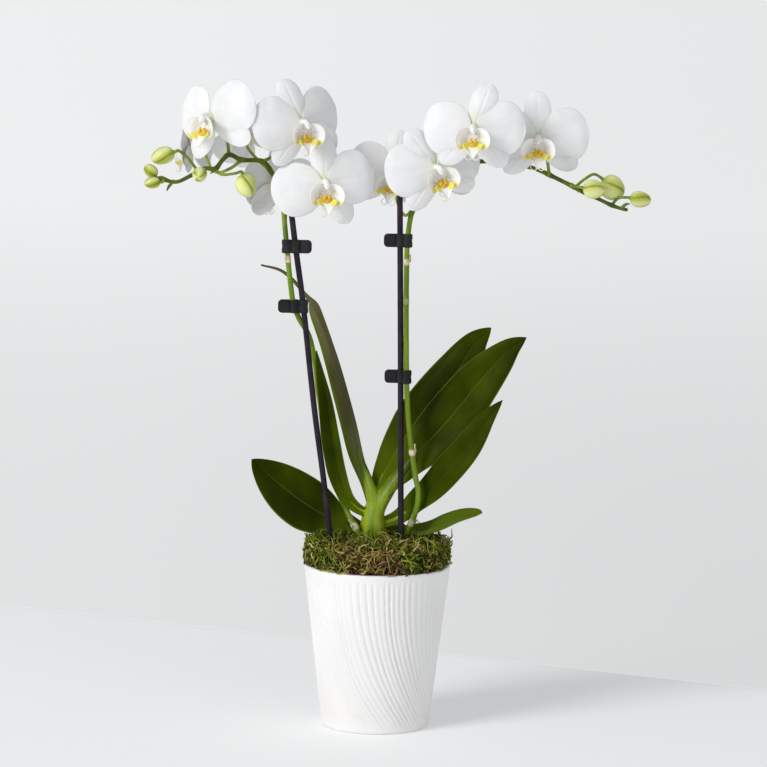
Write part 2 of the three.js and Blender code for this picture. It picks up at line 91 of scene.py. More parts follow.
def rings_about(rings, angle):
    """A grid of points from the radius and the height of each ring about the axis."""
    c, s = np.cos(angle), np.sin(angle)
    return np.array([np.column_stack([r * c, r * s, np.full(len(angle), z)]) for r, z in rings])


def profile(count, places, values):
    """A value at each of count even steps from 0 to 1, straight between the given ones."""
    return np.interp(np.linspace(0, 1, count), places, values)


def route(points, count):
    """Even points on a centripetal Catmull-Rom curve through the given points."""
    p = np.asarray(points, float)
    p = np.vstack([2 * p[0] - p[1], p, 2 * p[-1] - p[-2]])
    fine = []
    for i in range(1, len(p) - 2):
        a, b, c, d = p[i - 1 : i + 3]
        t0 = 0.0
        t1 = t0 + math.sqrt(np.linalg.norm(b - a))
        t2 = t1 + math.sqrt(np.linalg.norm(c - b))
        t3 = t2 + math.sqrt(np.linalg.norm(d - c))
        t = np.linspace(t1, t2, 24, endpoint=False)[:, None]
        ab = (t1 - t) / (t1 - t0) * a + (t - t0) / (t1 - t0) * b
        bc = (t2 - t) / (t2 - t1) * b + (t - t1) / (t2 - t1) * c
        cd = (t3 - t) / (t3 - t2) * c + (t - t2) / (t3 - t2) * d
        abc = (t2 - t) / (t2 - t0) * ab + (t - t0) / (t2 - t0) * bc
        bcd = (t3 - t) / (t3 - t1) * bc + (t - t1) / (t3 - t1) * cd
        fine.append((t2 - t) / (t2 - t1) * abc + (t - t1) / (t2 - t1) * bcd)
    fine = np.vstack(fine + [p[-2][None]])
    length = np.concatenate([[0], np.cumsum(np.linalg.norm(np.diff(fine, axis=0), axis=1))])
    even = np.linspace(0, length[-1], count)
    return np.column_stack([np.interp(even, length, fine[:, k]) for k in range(3)])


def grid_faces(rows, cols, wrap=False):
    i = np.arange(rows - 1)[:, None]
    j = np.arange(cols if wrap else cols - 1)[None, :]
    a = i * cols + j
    b = i * cols + (j + 1) % cols
    return np.stack([a, b, b + cols, a + cols], -1).reshape(-1, 4)


class Shape:
    """A mesh in the making: points in millimetres, and the numbers its material reads at each of them."""

    fields = ("along", "across", "side", "tone", "mark")

    def __init__(self):
        self.points, self.faces, self.numbers, self.count = [], [], [], 0

    def add(self, points, faces, **numbers):
        points = np.asarray(points, float).reshape(-1, 3)
        n = len(points)
        columns = [np.broadcast_to(np.ravel(numbers.get(f, 0.0)), n) for f in self.fields]
        self.points.append(points)
        self.numbers.append(np.column_stack(columns))
        for part in faces:
            self.faces.extend((np.asarray(part) + self.count).tolist())
        self.count += n

    def plate(self, surface, thickness, **numbers):
        """A closed thin sheet about a grid of middle points, rows along it and columns across it."""
        rows, cols = surface.shape[:2]
        normal = unit(np.cross(np.gradient(surface, axis=1), np.gradient(surface, axis=0)))
        lift = normal * np.broadcast_to(thickness, (rows, cols))[..., None] / 2
        n = rows * cols
        front = grid_faces(rows, cols)
        index = np.arange(n).reshape(rows, cols)
        ring = np.concatenate([index[0, :-1], index[:-1, -1], index[-1, :0:-1], index[:0:-1, 0]])
        after = np.roll(ring, -1)
        rim = np.stack([after, ring, ring + n, after + n], -1)
        both = {}
        for k, v in numbers.items():
            both[k] = np.concatenate([np.ravel(np.broadcast_to(v, (rows, cols)))] * 2)
        both["side"] = np.repeat([0.0, 1.0], n)
        points = np.concatenate([(surface + lift).reshape(-1, 3), (surface - lift).reshape(-1, 3)])
        self.add(points, [front, front[:, ::-1] + n, rim], **both)

    def tube(self, path, radius, sides=14, flat=1.0, **numbers):
        """A tube with rounded ends. flat squeezes it across."""
        path = np.asarray(path, float)
        n = len(path)
        radius = np.broadcast_to(radius, n).astype(float)
        tangent = unit(np.gradient(path, axis=0))
        across = np.cross(tangent[0], [0.3, 0.2, 0.93])
        frames = []
        for t in tangent:
            across = unit(across - t * (across @ t))
            frames.append((across, np.cross(t, across)))
        ends = [(-0.7, 0.55), (-0.35, 0.86)]
        rows = [(path[0] + tangent[0] * s * radius[0], radius[0] * r, frames[0], 0.0) for s, r in ends]
        rows += [(path[i], radius[i], frames[i], i / (n - 1)) for i in range(n)]
        for s, r in ends[::-1]:
            rows.append((path[-1] - tangent[-1] * s * radius[-1], radius[-1] * r, frames[-1], 1.0))
        angle = circle(sides)
        c, s = np.cos(angle)[:, None], np.sin(angle)[:, None]
        points = [at + r * (c * a + s * flat * b) for at, r, (a, b), _ in rows]
        along = np.repeat([row[3] for row in rows], sides)
        total = len(rows) * sides
        tips = [path[0] - tangent[0] * radius[0] * 0.85, path[-1] + tangent[-1] * radius[-1] * 0.85]
        points = np.vstack([np.vstack(points), tips])
        i = np.arange(sides)
        j = (i + 1) % sides
        start = np.stack([np.full(sides, total), j, i], -1)
        finish = np.stack([np.full(sides, total + 1), total - sides + i, total - sides + j], -1)
        values = {}
        for k, v in numbers.items():
            if np.ndim(v):
                rounded = np.concatenate([[v[0]] * 2, v, [v[-1]] * 2])
                v = np.concatenate([np.repeat(rounded, sides), [v[0], v[-1]]])
            values[k] = v
        values["along"] = np.concatenate([along, [0, 1]])
        values["across"] = np.concatenate([np.tile(angle / (2 * math.pi), len(rows)), [0, 0]])
        self.add(points, [grid_faces(len(rows), sides, wrap=True), start, finish], **values)

    def turned(self, surface, **numbers):
        """A closed turned body: rows of rings whose first and last lie on the axis."""
        rows, cols = surface.shape[:2]
        inner = surface[1:-1].reshape(-1, 3)
        n = len(inner)
        ends = [surface[0].mean(0), surface[-1].mean(0)]
        i = np.arange(cols)
        j = (i + 1) % cols
        start = np.stack([np.full(cols, n), j, i], -1)
        finish = np.stack([np.full(cols, n + 1), n - cols + i, n - cols + j], -1)
        values = {}
        for k, v in numbers.items():
            v = np.broadcast_to(v, (rows, cols))
            values[k] = np.concatenate([v[1:-1].ravel(), [v[0, 0], v[-1, 0]]])
        self.add(np.vstack([inner, ends]), [grid_faces(rows - 2, cols, wrap=True), start, finish], **values)

    def placed(self, matrix, at):
        """The same shape turned by a 3 x 3 matrix and moved."""
        other = Shape()
        other.points = [p @ matrix.T + at for p in self.points]
        other.faces, other.numbers, other.count = self.faces, self.numbers, self.count
        return other

    def make(self, name, material, slot, *nodes):
        mesh = bpy.data.meshes.new(name)
        mesh.from_pydata((np.vstack(self.points) * MM).tolist(), [], self.faces)
        mesh.polygons.foreach_set("use_smooth", [True] * len(mesh.polygons))
        numbers = np.vstack(self.numbers)
        for k, field in enumerate(self.fields):
            attribute = mesh.attributes.new(field, "FLOAT", "POINT")
            attribute.data.foreach_set("value", numbers[:, k].astype(np.float32))
        mesh.materials.append(material)
        mesh.update()
        piece = bpy.data.objects.new(name, mesh)
        bpy.context.scene.collection.objects.link(piece)
        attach(piece, "root")
        if nodes:
            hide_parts(*nodes)
        return piece


# ---- materials ----
class Look:
    """A node material with short ways to add nodes."""

    def __init__(self, name, roughness=0.5, **sockets):
        self.material = bpy.data.materials.new(name)
        self.material.use_nodes = True
        self.tree = self.material.node_tree
        self.shader = self.tree.nodes["Principled BSDF"]
        self.shader.inputs["Roughness"].default_value = roughness
        for key, value in sockets.items():
            self.shader.inputs[key.replace("_", " ")].default_value = value

    def node(self, kind, **inputs):
        node = self.tree.nodes.new("ShaderNode" + kind)
        for key, value in inputs.items():
            socket = node.inputs[key.replace("_", " ")]
            self.feed(value, socket)
        return node

    def feed(self, value, socket):
        if isinstance(value, bpy.types.NodeSocket):
            self.tree.links.new(value, socket)
        else:
            socket.default_value = value

    def number(self, name):
        """One of the numbers that Shape keeps at each point."""
        node = self.tree.nodes.new("ShaderNodeAttribute")
        node.attribute_name = name
        return node.outputs["Fac"]

    def math(self, operation, a, b=0.0):
        node = self.tree.nodes.new("ShaderNodeMath")
        node.operation = operation
        self.feed(a, node.inputs[0])
        self.feed(b, node.inputs[1])
        return node.outputs[0]

    def times(self, a, b):
        return self.math("MULTIPLY", a, b)

    def plus(self, a, b):
        return self.math("ADD", a, b)

    def step(self, value, low, high, to_low=0.0, to_high=1.0):
        """A smooth change from to_low to to_high as the value goes from low to high."""
        node = self.tree.nodes.new("ShaderNodeMapRange")
        node.interpolation_type = "SMOOTHSTEP"
        for k, v in enumerate([value, low, high, to_low, to_high]):
            self.feed(v, node.inputs[k])
        return node.outputs[0]

    def mix(self, share, a, b):
        node = self.tree.nodes.new("ShaderNodeMix")
        node.data_type = "RGBA"
        self.feed(share, node.inputs["Factor"])
        for value, socket in ((a, node.inputs[6]), (b, node.inputs[7])):
            self.feed(value if isinstance(value, bpy.types.NodeSocket) else (*value, 1.0), socket)
        return node.outputs[2]

    def place(self, stretch=(1, 1, 1)):
        """Object coordinates, which are the part's frame in metres."""
        coordinates = self.tree.nodes.new("ShaderNodeTexCoord")
        mapping = self.tree.nodes.new("ShaderNodeMapping")
        mapping.inputs["Scale"].default_value = stretch
        self.tree.links.new(coordinates.outputs["Object"], mapping.inputs["Vector"])
        return mapping.outputs[0]

    def height(self):
        """How high the point is in the part's frame, in metres."""
        return self.node("SeparateXYZ", Vector=self.place()).outputs[2]

    def noise(self, scale, detail=4.0, stretch=(1, 1, 1)):
        return self.node("TexNoise", Vector=self.place(stretch), Scale=scale, Detail=detail).outputs["Fac"]

    def bump(self, height, strength, distance):
        node = self.node("Bump", Height=height, Strength=strength, Distance=distance)
        self.tree.links.new(node.outputs[0], self.shader.inputs["Normal"])

    def colour(self, value):
        self.feed(value, self.shader.inputs["Base Color"])

    def rough(self, value):
        self.feed(value, self.shader.inputs["Roughness"])


def glaze_look():
    look = Look("matte_glaze", 0.42, Specular_IOR_Level=0.4)
    cloud = look.noise(18.0, 3.0)
    fine = look.noise(900.0, 2.0)
    low = look.step(look.height(), 0.0, 0.09, 1.0, 0.0)
    body = look.mix(look.step(cloud, 0.35, 0.7), (0.865, 0.855, 0.85), (0.895, 0.89, 0.885))
    look.colour(look.mix(look.times(low, 0.35), body, (0.84, 0.80, 0.785)))
    look.rough(look.step(cloud, 0.3, 0.7, 0.36, 0.5))
    look.bump(fine, 0.12, 0.0002)
    return look.material


def petal_look():
    look = Look("petal", 0.55, Subsurface_Weight=0.15, Subsurface_Scale=0.002, Specular_IOR_Level=0.25)
    look.shader.inputs["Subsurface Radius"].default_value = (1.0, 0.9, 0.85)
    along, across, side = look.number("along"), look.number("across"), look.number("side")
    pale = look.mix(look.step(look.noise(60.0), 0.35, 0.7), (0.80, 0.80, 0.81), (0.86, 0.86, 0.865))
    wander = look.times(look.noise(140.0, 2.0), 0.5)
    comb = look.math("SINE", look.plus(look.times(across, 24.0), look.times(wander, 9.0)))
    vein = look.step(comb, 0.72, 1.0)
    near = look.step(along, 0.0, 0.42, 1.0, 0.0)
    share = look.times(vein, look.step(along, 0.1, 0.95, 0.14, 0.02))
    veined = look.mix(share, pale, (0.74, 0.70, 0.72))
    heart = look.mix(look.times(near, look.number("tone")), veined, (0.70, 0.76, 0.42))
    blush = look.times(look.times(side, near), 0.45)
    look.colour(look.mix(blush, heart, (0.74, 0.55, 0.52)))
    look.bump(look.plus(look.times(vein, 0.5), look.noise(420.0, 3.0)), 0.16, 0.0006)
    return look.material


def lip_look():
    look = Look("lip", 0.45, Subsurface_Weight=0.12, Subsurface_Scale=0.0015, Specular_IOR_Level=0.3)
    tone, mark = look.number("tone"), look.number("mark")
    white = look.mix(look.noise(260.0), (0.88, 0.87, 0.85), (0.94, 0.935, 0.92))
    gold = look.mix(look.step(look.noise(420.0), 0.4, 0.6), (0.82, 0.60, 0.05), (0.74, 0.42, 0.015))
    lemon = look.mix(look.noise(200.0), (0.86, 0.81, 0.22), (0.82, 0.70, 0.07))
    yellow = look.mix(look.step(tone, 0.78, 1.0), lemon, gold)
    ragged = look.plus(tone, look.times(look.math("SUBTRACT", look.noise(300.0), 0.5), 0.35))
    body = look.mix(look.step(ragged, 0.12, 0.62), white, yellow)
    cells = look.node("TexVoronoi", Vector=look.place(), Scale=1000.0).outputs["Distance"]
    dots = look.times(look.step(cells, 0.16, 0.36, 1.0, 0.0), mark)
    look.colour(look.mix(look.math("MINIMUM", dots, 0.85), body, (0.30, 0.04, 0.10)))
    look.bump(look.noise(700.0, 3.0), 0.25, 0.0004)
    return look.material


def leaf_look():
    look = Look("leaf", 0.36, Specular_IOR_Level=0.05, Specular_Tint=(0.75, 0.85, 0.25, 1.0))
    along, across, side = look.number("along"), look.number("across"), look.number("side")
    tone = look.number("tone")
    # Patches of lighter and darker green: partly the leaf's own uneven tone, partly painted sheen on the top
    # face; the same patches vary the underside's tone.
    tone_and_sheen_patch = look.step(look.noise(16.0, 3.0), 0.34, 0.68)
    top = look.mix(tone_and_sheen_patch, (0.009, 0.0145, 0.0002), (0.042, 0.063, 0.0005))
    # tone turns the top face a lighter green: partly the leaf's own colour, partly painted sheen; only the
    # lowest, upturned leaf has a high tone.
    top = look.mix(tone, top, (0.085, 0.135, 0.004))
    top = look.mix(look.step(along, 0.0, 0.42, 0.85, 0.0), top, (0.105, 0.165, 0.004))
    under = look.mix(tone_and_sheen_patch, (0.085, 0.074, 0.032), (0.150, 0.132, 0.064))
    face = look.mix(side, top, look.mix(look.step(along, 0.0, 0.35, 0.8, 0.0), under, (0.12, 0.22, 0.02)))
    face = look.mix(look.number("mark"), face, (0.095, 0.15, 0.006))
    off = look.math("ABSOLUTE", across)
    # The lighter midrib and edge lines are partly the leaf's own paler rib and margin, partly painted
    # highlight.
    rib = look.step(off, 0.0, 0.05, 0.65, 0.0)
    edge = look.step(off, 0.92, 1.0, 0.0, 0.8)
    face = look.mix(rib, face, (0.075, 0.10, 0.015))
    face = look.mix(edge, face, (0.11, 0.155, 0.012))
    comb = look.math("SINE", look.times(across, 70.0))
    look.colour(look.mix(look.times(look.step(comb, 0.3, 1.0), 0.08), face, (0.07, 0.10, 0.01)))
    look.rough(look.step(look.noise(40.0), 0.3, 0.7, 0.3, 0.46))
    look.bump(look.plus(look.times(comb, 0.25), look.noise(500.0, 3.0)), 0.2, 0.0004)
    return look.material


def stem_look():
    look = Look("stem", 0.42, Specular_IOR_Level=0.2)
    tone, mark = look.number("tone"), look.number("mark")
    streak = look.noise(160.0, 4.0, (1, 1, 0.12))
    fresh = look.mix(look.step(streak, 0.35, 0.7), (0.10, 0.18, 0.006), (0.20, 0.30, 0.016))
    dark = look.mix(look.step(streak, 0.35, 0.7), (0.030, 0.050, 0.003), (0.075, 0.105, 0.008))
    pale = look.mix(look.step(streak, 0.3, 0.7), (0.36, 0.38, 0.07), (0.55, 0.56, 0.18))
    body = look.mix(look.step(tone, 0.0, 0.5), dark, fresh)
    body = look.mix(look.step(tone, 0.5, 1.0), body, pale)
    cream = look.mix(look.step(look.noise(300.0), 0.35, 0.7), (0.55, 0.46, 0.28), (0.80, 0.74, 0.56))
    look.colour(look.mix(mark, body, cream))
    look.bump(look.noise(420.0, 4.0, (1, 1, 0.2)), 0.25, 0.0004)
    return look.material


def crown_look():
    look = Look("crown", 0.4, Specular_IOR_Level=0.25)
    streak = look.noise(150.0, 4.0, (1, 1, 0.15))
    height = look.height()
    bright = look.mix(look.step(streak, 0.3, 0.7), (0.15, 0.235, 0.006), (0.30, 0.40, 0.018))
    dull = look.mix(look.step(streak, 0.3, 0.7), (0.045, 0.085, 0.003), (0.09, 0.14, 0.006))
    low = look.step(height, RIM * MM + 0.010, RIM * MM + 0.024, 0.7, 0.0)
    high = look.step(height, RIM * MM + 0.045, RIM * MM + 0.085)
    look.colour(look.mix(high, look.mix(low, bright, dull), dull))
    look.bump(look.noise(420.0, 4.0, (1, 1, 0.2)), 0.2, 0.0004)
    return look.material


def bud_look():
    look = Look("bud", 0.4, Subsurface_Weight=0.1, Subsurface_Scale=0.002, Specular_IOR_Level=0.25)
    along, tone, mark = look.number("along"), look.number("tone"), look.number("mark")
    pale = look.mix(look.noise(120.0), (0.62, 0.66, 0.13), (0.80, 0.80, 0.32))
    green = look.mix(look.noise(120.0), (0.27, 0.34, 0.010), (0.46, 0.50, 0.03))
    body = look.mix(tone, pale, green)
    # Painted highlight: pale whitish green down the middle of each sepal, where across is high.
    body = look.mix(look.step(look.number("across"), 0.55, 1.0, 0.0, 0.6), body, (0.86, 0.88, 0.48))
    body = look.mix(look.step(along, 0.0, 0.3, 0.7, 0.0), body, (0.17, 0.24, 0.02))
    # mark darkens the seams: their own dark line and a painted shade about them.
    look.colour(look.mix(look.times(mark, 0.85), body, (0.13, 0.18, 0.008)))
    look.bump(look.noise(500.0, 3.0), 0.18, 0.0004)
    return look.material


def moss_look():
    look = Look("moss", 0.85, Specular_IOR_Level=0.2)
    tone, mark = look.number("tone"), look.number("mark")
    # mark runs each colour from a near-black painted shade, for the gaps between strands, to its lit colour;
    # the dark end is partly the moss's own dead strands.
    brown = look.mix(mark, (0.026, 0.010, 0.003), (0.36, 0.20, 0.09))
    olive = look.mix(mark, (0.022, 0.020, 0.002), (0.52, 0.46, 0.09))
    green = look.mix(mark, (0.012, 0.022, 0.001), (0.26, 0.33, 0.018))
    straw = look.mix(mark, (0.30, 0.24, 0.07), (0.66, 0.56, 0.25))
    body = look.mix(look.step(tone, 0.1, 0.4), brown, olive)
    body = look.mix(look.step(tone, 0.4, 0.65), body, green)
    look.colour(look.mix(look.step(tone, 0.88, 0.92), body, straw))
    look.bump(look.noise(900.0), 0.3, 0.0003)
    return look.material


def bark_look():
    look = Look("bark_mix", 0.92)
    chunk = look.node("TexVoronoi", Vector=look.place((1, 1, 1.6)), Scale=110.0)
    dirt = look.noise(260.0)
    look.colour(look.mix(chunk.outputs["Distance"], (0.16, 0.075, 0.03), (0.035, 0.018, 0.01)))
    look.bump(look.math("SUBTRACT", dirt, chunk.outputs["Distance"]), 0.8, 0.003)
    return look.material


def plastic_look(name, dark, light, roughness, grain):
    look = Look(name, roughness, Specular_IOR_Level=0.2)
    scuff = look.noise(70.0, 4.0)
    look.colour(look.mix(look.step(scuff, 0.35, 0.75), dark, light))
    look.rough(look.step(scuff, 0.3, 0.7, roughness - 0.06, roughness + 0.1))
    look.bump(look.noise(1500.0, 2.0), grain, 0.0002)
    return look.material


glaze = glaze_look()
petal_material = petal_look()
lip_material = lip_look()
leaf_material = leaf_look()
stem_material = stem_look()
crown_material = crown_look()
bud_material = bud_look()
moss_material = moss_look()
bark_material = bark_look()
liner_material = plastic_look("liner_plastic", (0.030, 0.032, 0.030), (0.055, 0.058, 0.055), 0.45, 0.1)
stake_material = plastic_look("stake_plastic", (0.011, 0.006, 0.014), (0.030, 0.017, 0.034), 0.42, 0.2)
clip_material = plastic_look("clip_plastic", (0.010, 0.010, 0.012), (0.026, 0.026, 0.030), 0.38, 0.15)

for name, material in (("potting_mix", bark_material), ("grower_pot", liner_material)):
    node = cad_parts[name]
    node.data.materials.clear()
    node.data.materials.append(material)


# ---- cachepot ----
base_radius, rim_radius, pot_wall, pot_floor = 42.3, 57.5, 4.0, 6.0


def pot_radius(z):
    return base_radius + (rim_radius - base_radius) * z / RIM


def pleats(angle, z):
    """How far the folds stand out, 0 to 1. They fall straight from the rim, then sweep to one side."""
    down = (RIM - z) / RIM
    turn = angle - 38.0 * down**2.5 / pot_radius(z)
    lap = turn[..., None] * np.arange(1, 8)
    own = np.random.default_rng(5)
    drift = (np.sin(lap + own.uniform(0, 7, 7)) * own.uniform(0.1, 0.5, 7)).sum(-1)
    phase = 72 * turn + 3.0 * drift + 1.6 * np.sin(9 * turn + 4 * down) * down
    fold = 1 - np.abs(np.sin(phase / 2)) ** 0.5
    swell = 0.5 + 0.5 * np.sin(17 * turn + 2.2 * drift + 1.0)
    minor = 0.5 + 0.5 * np.sin(31 * turn - 3 * drift)
    depth = 0.35 + 0.45 * swell + 0.2 * minor
    return -fold * depth


def pot():
    shape = Shape()
    cols = 720
    angle = circle(cols)
    bevel = 1.6
    outer = np.concatenate([np.linspace(bevel, RIM - 6, 96), np.linspace(RIM - 5.4, RIM - 1.6, 6)])
    rings = [(0.0, 0.6), (base_radius - 7.0, 0.6), (base_radius - 5.5, 0.0), (base_radius - bevel, 0.0),
             (base_radius - 0.55, 0.45)]
    for z in outer:
        down = RIM - z
        strength = 1.45 * smooth(down, 4.0, 10) * (0.25 + 0.75 * smooth(z, 1, 14))
        rings.append((pot_radius(z) + strength * pleats(angle, z) + 0.1, z))
    for r, z in ((-0.15, -0.8), (-0.8, -0.15), (-1.5, 0.0), (-pot_wall + 1.2, 0.0), (-pot_wall + 0.4, -0.3),
                 (-pot_wall, -1.2)):
        rings.append((rim_radius + r, RIM + z))
    for z in np.linspace(RIM - 4, pot_floor + 3, 8):
        rings.append((pot_radius(z) - pot_wall, z))
    rings += [(base_radius - pot_wall - 2.0, pot_floor), (0.0, pot_floor)]
    shape.turned(rings_about(rings, angle))
    shape.make("pot_body", glaze, "pot_glaze", "ceramic_pot")


pot()


# ---- moss ----
moss_side, moss_crown, moss_inset = 15.0, 22.0, 1.5
moss_radius = rim_radius - moss_inset


def moss_top(radius):
    """Height of the moss at a distance from the middle."""
    share = np.clip(np.asarray(radius, float) / moss_radius, 0, 1)
    dome = moss_crown - (moss_crown - moss_side) * share**2
    shoulder = np.sqrt(np.clip(1 - smooth(share, 0.9, 1.0) ** 2, 0, 1))
    return RIM + 0.3 + dome * (0.35 + 0.65 * shoulder)


def moss():
    bed = Shape()
    cols = 160
    angle = circle(cols)
    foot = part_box("moss")[0].z / MM
    under, side = [(0, foot), (47, foot)], []
    for r, z in ((50.5, -5), (51.2, -0.5), (53.0, 0.5), (53.8, 4), (53.6, 8), (51.5, 12.2)):
        side.append((r, RIM + z))
    rings = under + side + [(r, float(moss_top(r)) - 2.0) for r in np.linspace(48, 0, 34)]
    surface = rings_about(rings, angle)
    lumps = ripple(surface, 9.0, 3) + 0.6 * ripple(surface, 4.0, 4)
    above = smooth(surface[..., 2], RIM + 0.5, RIM + 4)
    out = unit(surface - np.array([0, 0, RIM - 20.0]))
    surface = surface + out * (above * (lumps * 1.1 - 0.6))[..., None]
    # The bed under the strands has mark 0.02, near black: painted shade for the gaps between strands.
    bed.turned(surface, tone=0.15 + 0.3 * smooth(lumps, -0.6, 0.8), mark=0.02)
    bed.make("moss_bed", moss_material, "moss", "moss")

    def patch_tone(points):
        """Brown low at the front and at the right edge, green in the middle and at the back."""
        wave = 0.54 + 0.42 * ripple(points, 38.0, 8, 2)
        front = smooth(-points[:, 1], 30, 58) * smooth(45 - np.abs(points[:, 0] - 4), 0, 30) * 0.30
        low = smooth(RIM + 9 - points[:, 2], 0, 9) * 0.24
        middle = 0.25 * np.exp(-((points[:, 0] - 6) ** 2 + (points[:, 1] + 8) ** 2) / 500)
        return np.clip(wave - front * 0.6 - low + middle, 0.02, 0.8)

    def seats(count):
        """Random points on the moss: its top, and the band round its side."""
        radius = moss_radius * np.sqrt(rng.uniform(0, 1.0, count))
        band = rng.uniform(size=count) < 0.34
        radius[band] = moss_radius - rng.uniform(0, 1.5, band.sum())
        turn = rng.uniform(0, 2 * math.pi, count)
        z = moss_top(np.minimum(radius, moss_radius - 5)) - rng.uniform(0, 1.6, count)
        z[band] = RIM + rng.uniform(1.2, moss_side, band.sum())
        at = np.column_stack([radius * np.cos(turn), radius * np.sin(turn), z])
        sideways = np.column_stack([np.cos(turn), np.sin(turn), np.full(count, 0.25)])
        upwards = np.column_stack([0.35 * np.cos(turn), 0.35 * np.sin(turn), np.ones(count)])
        return at, unit(np.where(band[:, None], sideways, upwards))

    def keep_in(path):
        """Holds a strand over the rim and inside the moss's own outline."""
        radius = np.hypot(path[:, 0], path[:, 1])
        limit = rim_radius + rng.uniform(-1.6, 1.4)
        share = np.where(radius > limit, limit / np.maximum(radius, 1e-6), 1.0)
        path[:, :2] *= share[:, None]
        path[:, 2] = np.maximum(path[:, 2], RIM + 0.6)
        return path

    for index in range(2):
        strands = Shape()
        count = 1250
        at, out = seats(count)
        tones = patch_tone(at)
        for k in range(count):
            length = rng.uniform(7, 20)
            steps = 9
            way = unit(rng.normal(size=3))
            way = unit(way - out[k] * (way @ out[k]) * rng.uniform(0.3, 1.0) + out[k] * rng.uniform(0, 0.35))
            curl = unit(rng.normal(size=3)) * rng.uniform(0.05, 0.5)
            path = [at[k]]
            for _ in range(steps - 1):
                way = unit(way + np.cross(curl, way) + rng.normal(size=3) * 0.16 - out[k] * 0.06)
                path.append(path[-1] + way * length / steps)
            path = keep_in(np.array(path))
            width = rng.uniform(0.32, 0.95)
            tone = tones[k] + rng.normal() * 0.08
            if rng.uniform() < 0.08:
                tone = 0.95
            taper = width * profile(steps, [0, 0.3, 1], [0.8, 1.0, 0.35])
            # Half the strands get a low shade and are painted near black, as gap shade and partly dead moss;
            # the rest get a high, lit one.
            shade = rng.choice([rng.uniform(0.0, 0.3), rng.uniform(0.45, 1.0)])
            strands.tube(path, taper, 4, tone=np.clip(tone, 0, 1), mark=shade)
        strands.make(f"moss_strands_{index + 1}", moss_material, "moss")

    sprigs = Shape()
    count = 700
    at, out = seats(count)
    tones = patch_tone(at)
    for k in range(count):
        way = unit(rng.normal(size=3) + out[k] * 0.8)
        path = [at[k] - out[k] * 1.0]
        steps = 8
        length = rng.uniform(5, 10)
        for _ in range(steps - 1):
            way = unit(way + rng.normal(size=3) * 0.2)
            path.append(path[-1] + way * length / steps)
        path = keep_in(np.array(path))
        tone = float(np.clip(tones[k] + 0.1 + rng.normal() * 0.08, 0, 0.85))
        # Half the sprigs get a low shade and are painted dark, as gap shade and partly dead moss; the rest
        # get a high, lit one.
        shade = rng.choice([rng.uniform(0.05, 0.35), rng.uniform(0.5, 1.0)])
        leaflets, faces = [], []
        side = unit(np.cross(way, rng.normal(size=3)))
        other = np.cross(way, side)
        for i in range(1, steps):
            for turn in rng.uniform(0, 2 * math.pi, 4):
                ray = unit(side * math.cos(turn) + other * math.sin(turn) + way * 0.7)
                cross = unit(np.cross(ray, way)) * 0.42
                tip = path[i] + ray * rng.uniform(1.4, 2.6) * (1.15 - 0.6 * i / steps)
                middle = (path[i] + tip) / 2 + np.cross(cross, ray) * 0.3
                low = path[i] + np.cross(ray, cross) * 0.25
                n = 5 * (len(leaflets) // 5)
                leaflets += [path[i], middle + cross, tip, middle - cross, low - ray * 0.1]
                faces += [[n, n + 1, n + 2], [n, n + 2, n + 3], [n + 1, n, n + 4], [n + 2, n + 1, n + 4],
                          [n + 3, n + 2, n + 4], [n, n + 3, n + 4]]
        sprigs.add(leaflets, [faces], tone=tone, mark=shade)
    sprigs.make("moss_sprigs", moss_material, "moss")


moss()


# ---- leaves ----
leaf_thickness = 2.2
leaves = [
    dict(width=44, peak=0.5, fold=12, tone=0.07, face=[(-0.1, -0.8, 0.5), (-0.1, -0.85, 0.5)],
         route=[(-6, 1, 26), (-18, 4, 28), (-33, 7, 32), (-46, 9, 38), (-65, 10, 50), (-92, 9, 72),
                (-100, 7, 80)]),
    dict(width=17, peak=0.25, fold=30, tone=0.1, base=6.0, strip=1, twist=(0.55, 0.95),
         face=[(-0.6, 0.75, 0.2), (0.2, -0.15, 1)],
         route=[(-4, 1, 50), (-9, 5, 66), (-16, 9, 84), (-22, 13, 106), (-29, 17, 130), (-38, 21, 160),
                (-46, 25, 182), (-55, 27, 201), (-64, 29, 213), (-79, 29, 227), (-95, 27, 232)]),
    dict(width=18, peak=0.35, fold=28, tone=0.1, face=[(-0.35, -0.9, 0.25), (-0.4, -0.9, 0.1)],
         route=[(-7, 0, 39), (-16, -1, 44), (-23.7, -2, 52), (-31, -3, 70), (-37, -3, 98), (-42, -3, 129),
                (-46.5, -3, 150), (-50, -3, 168)]),
    dict(width=50, peak=0.48, fold=10, tone=0.0, face=[(-0.5, -0.8, 0.3), (-0.3, -0.9, 0.3)],
         route=[(-1, 4, 50), (1, 10, 64), (11, 15, 81), (28, 21, 102), (45.5, 27, 126), (61, 32, 149),
                (75, 35, 172), (87, 36, 184)]),
    dict(width=44, peak=0.5, fold=12, tone=0.05, base=7.5, face=[(-0.4, -0.8, 0.3), (-0.2, -0.93, 0.25)],
         route=[(0, 1, 46), (5, 1, 55), (22, 1, 79), (44, -1, 103), (62, -3, 125), (76, -6, 144),
                (91, -9, 162), (102, -11, 174), (113, -13, 182)]),
    dict(width=26, peak=0.52, fold=16, tone=0.1, base=6.0, face=[(-0.3, -0.93, 0.2), (-0.3, -0.85, 0.4)],
         route=[(1, -1, 31), (17.5, 0, 37.5), (30, -2, 50), (42, -9, 62), (54, -17, 77), (69, -21, 96),
                (84, -24, 120), (95, -25, 134)]),
    # The lowest leaf's high tone paints it lighter green: partly its own colour, partly painted sheen.
    dict(width=22, peak=0.62, taper=0.5, fold=20, tone=0.95, face=[(-0.2, -0.4, 0.9), (-0.3, -0.4, 0.85)],
         route=[(1, 4, 24), (13, 5, 24), (26, 4, 25), (38, 0, 27), (50, -7, 33), (65, -14, 40.5),
                (81, -20, 45)]),
]


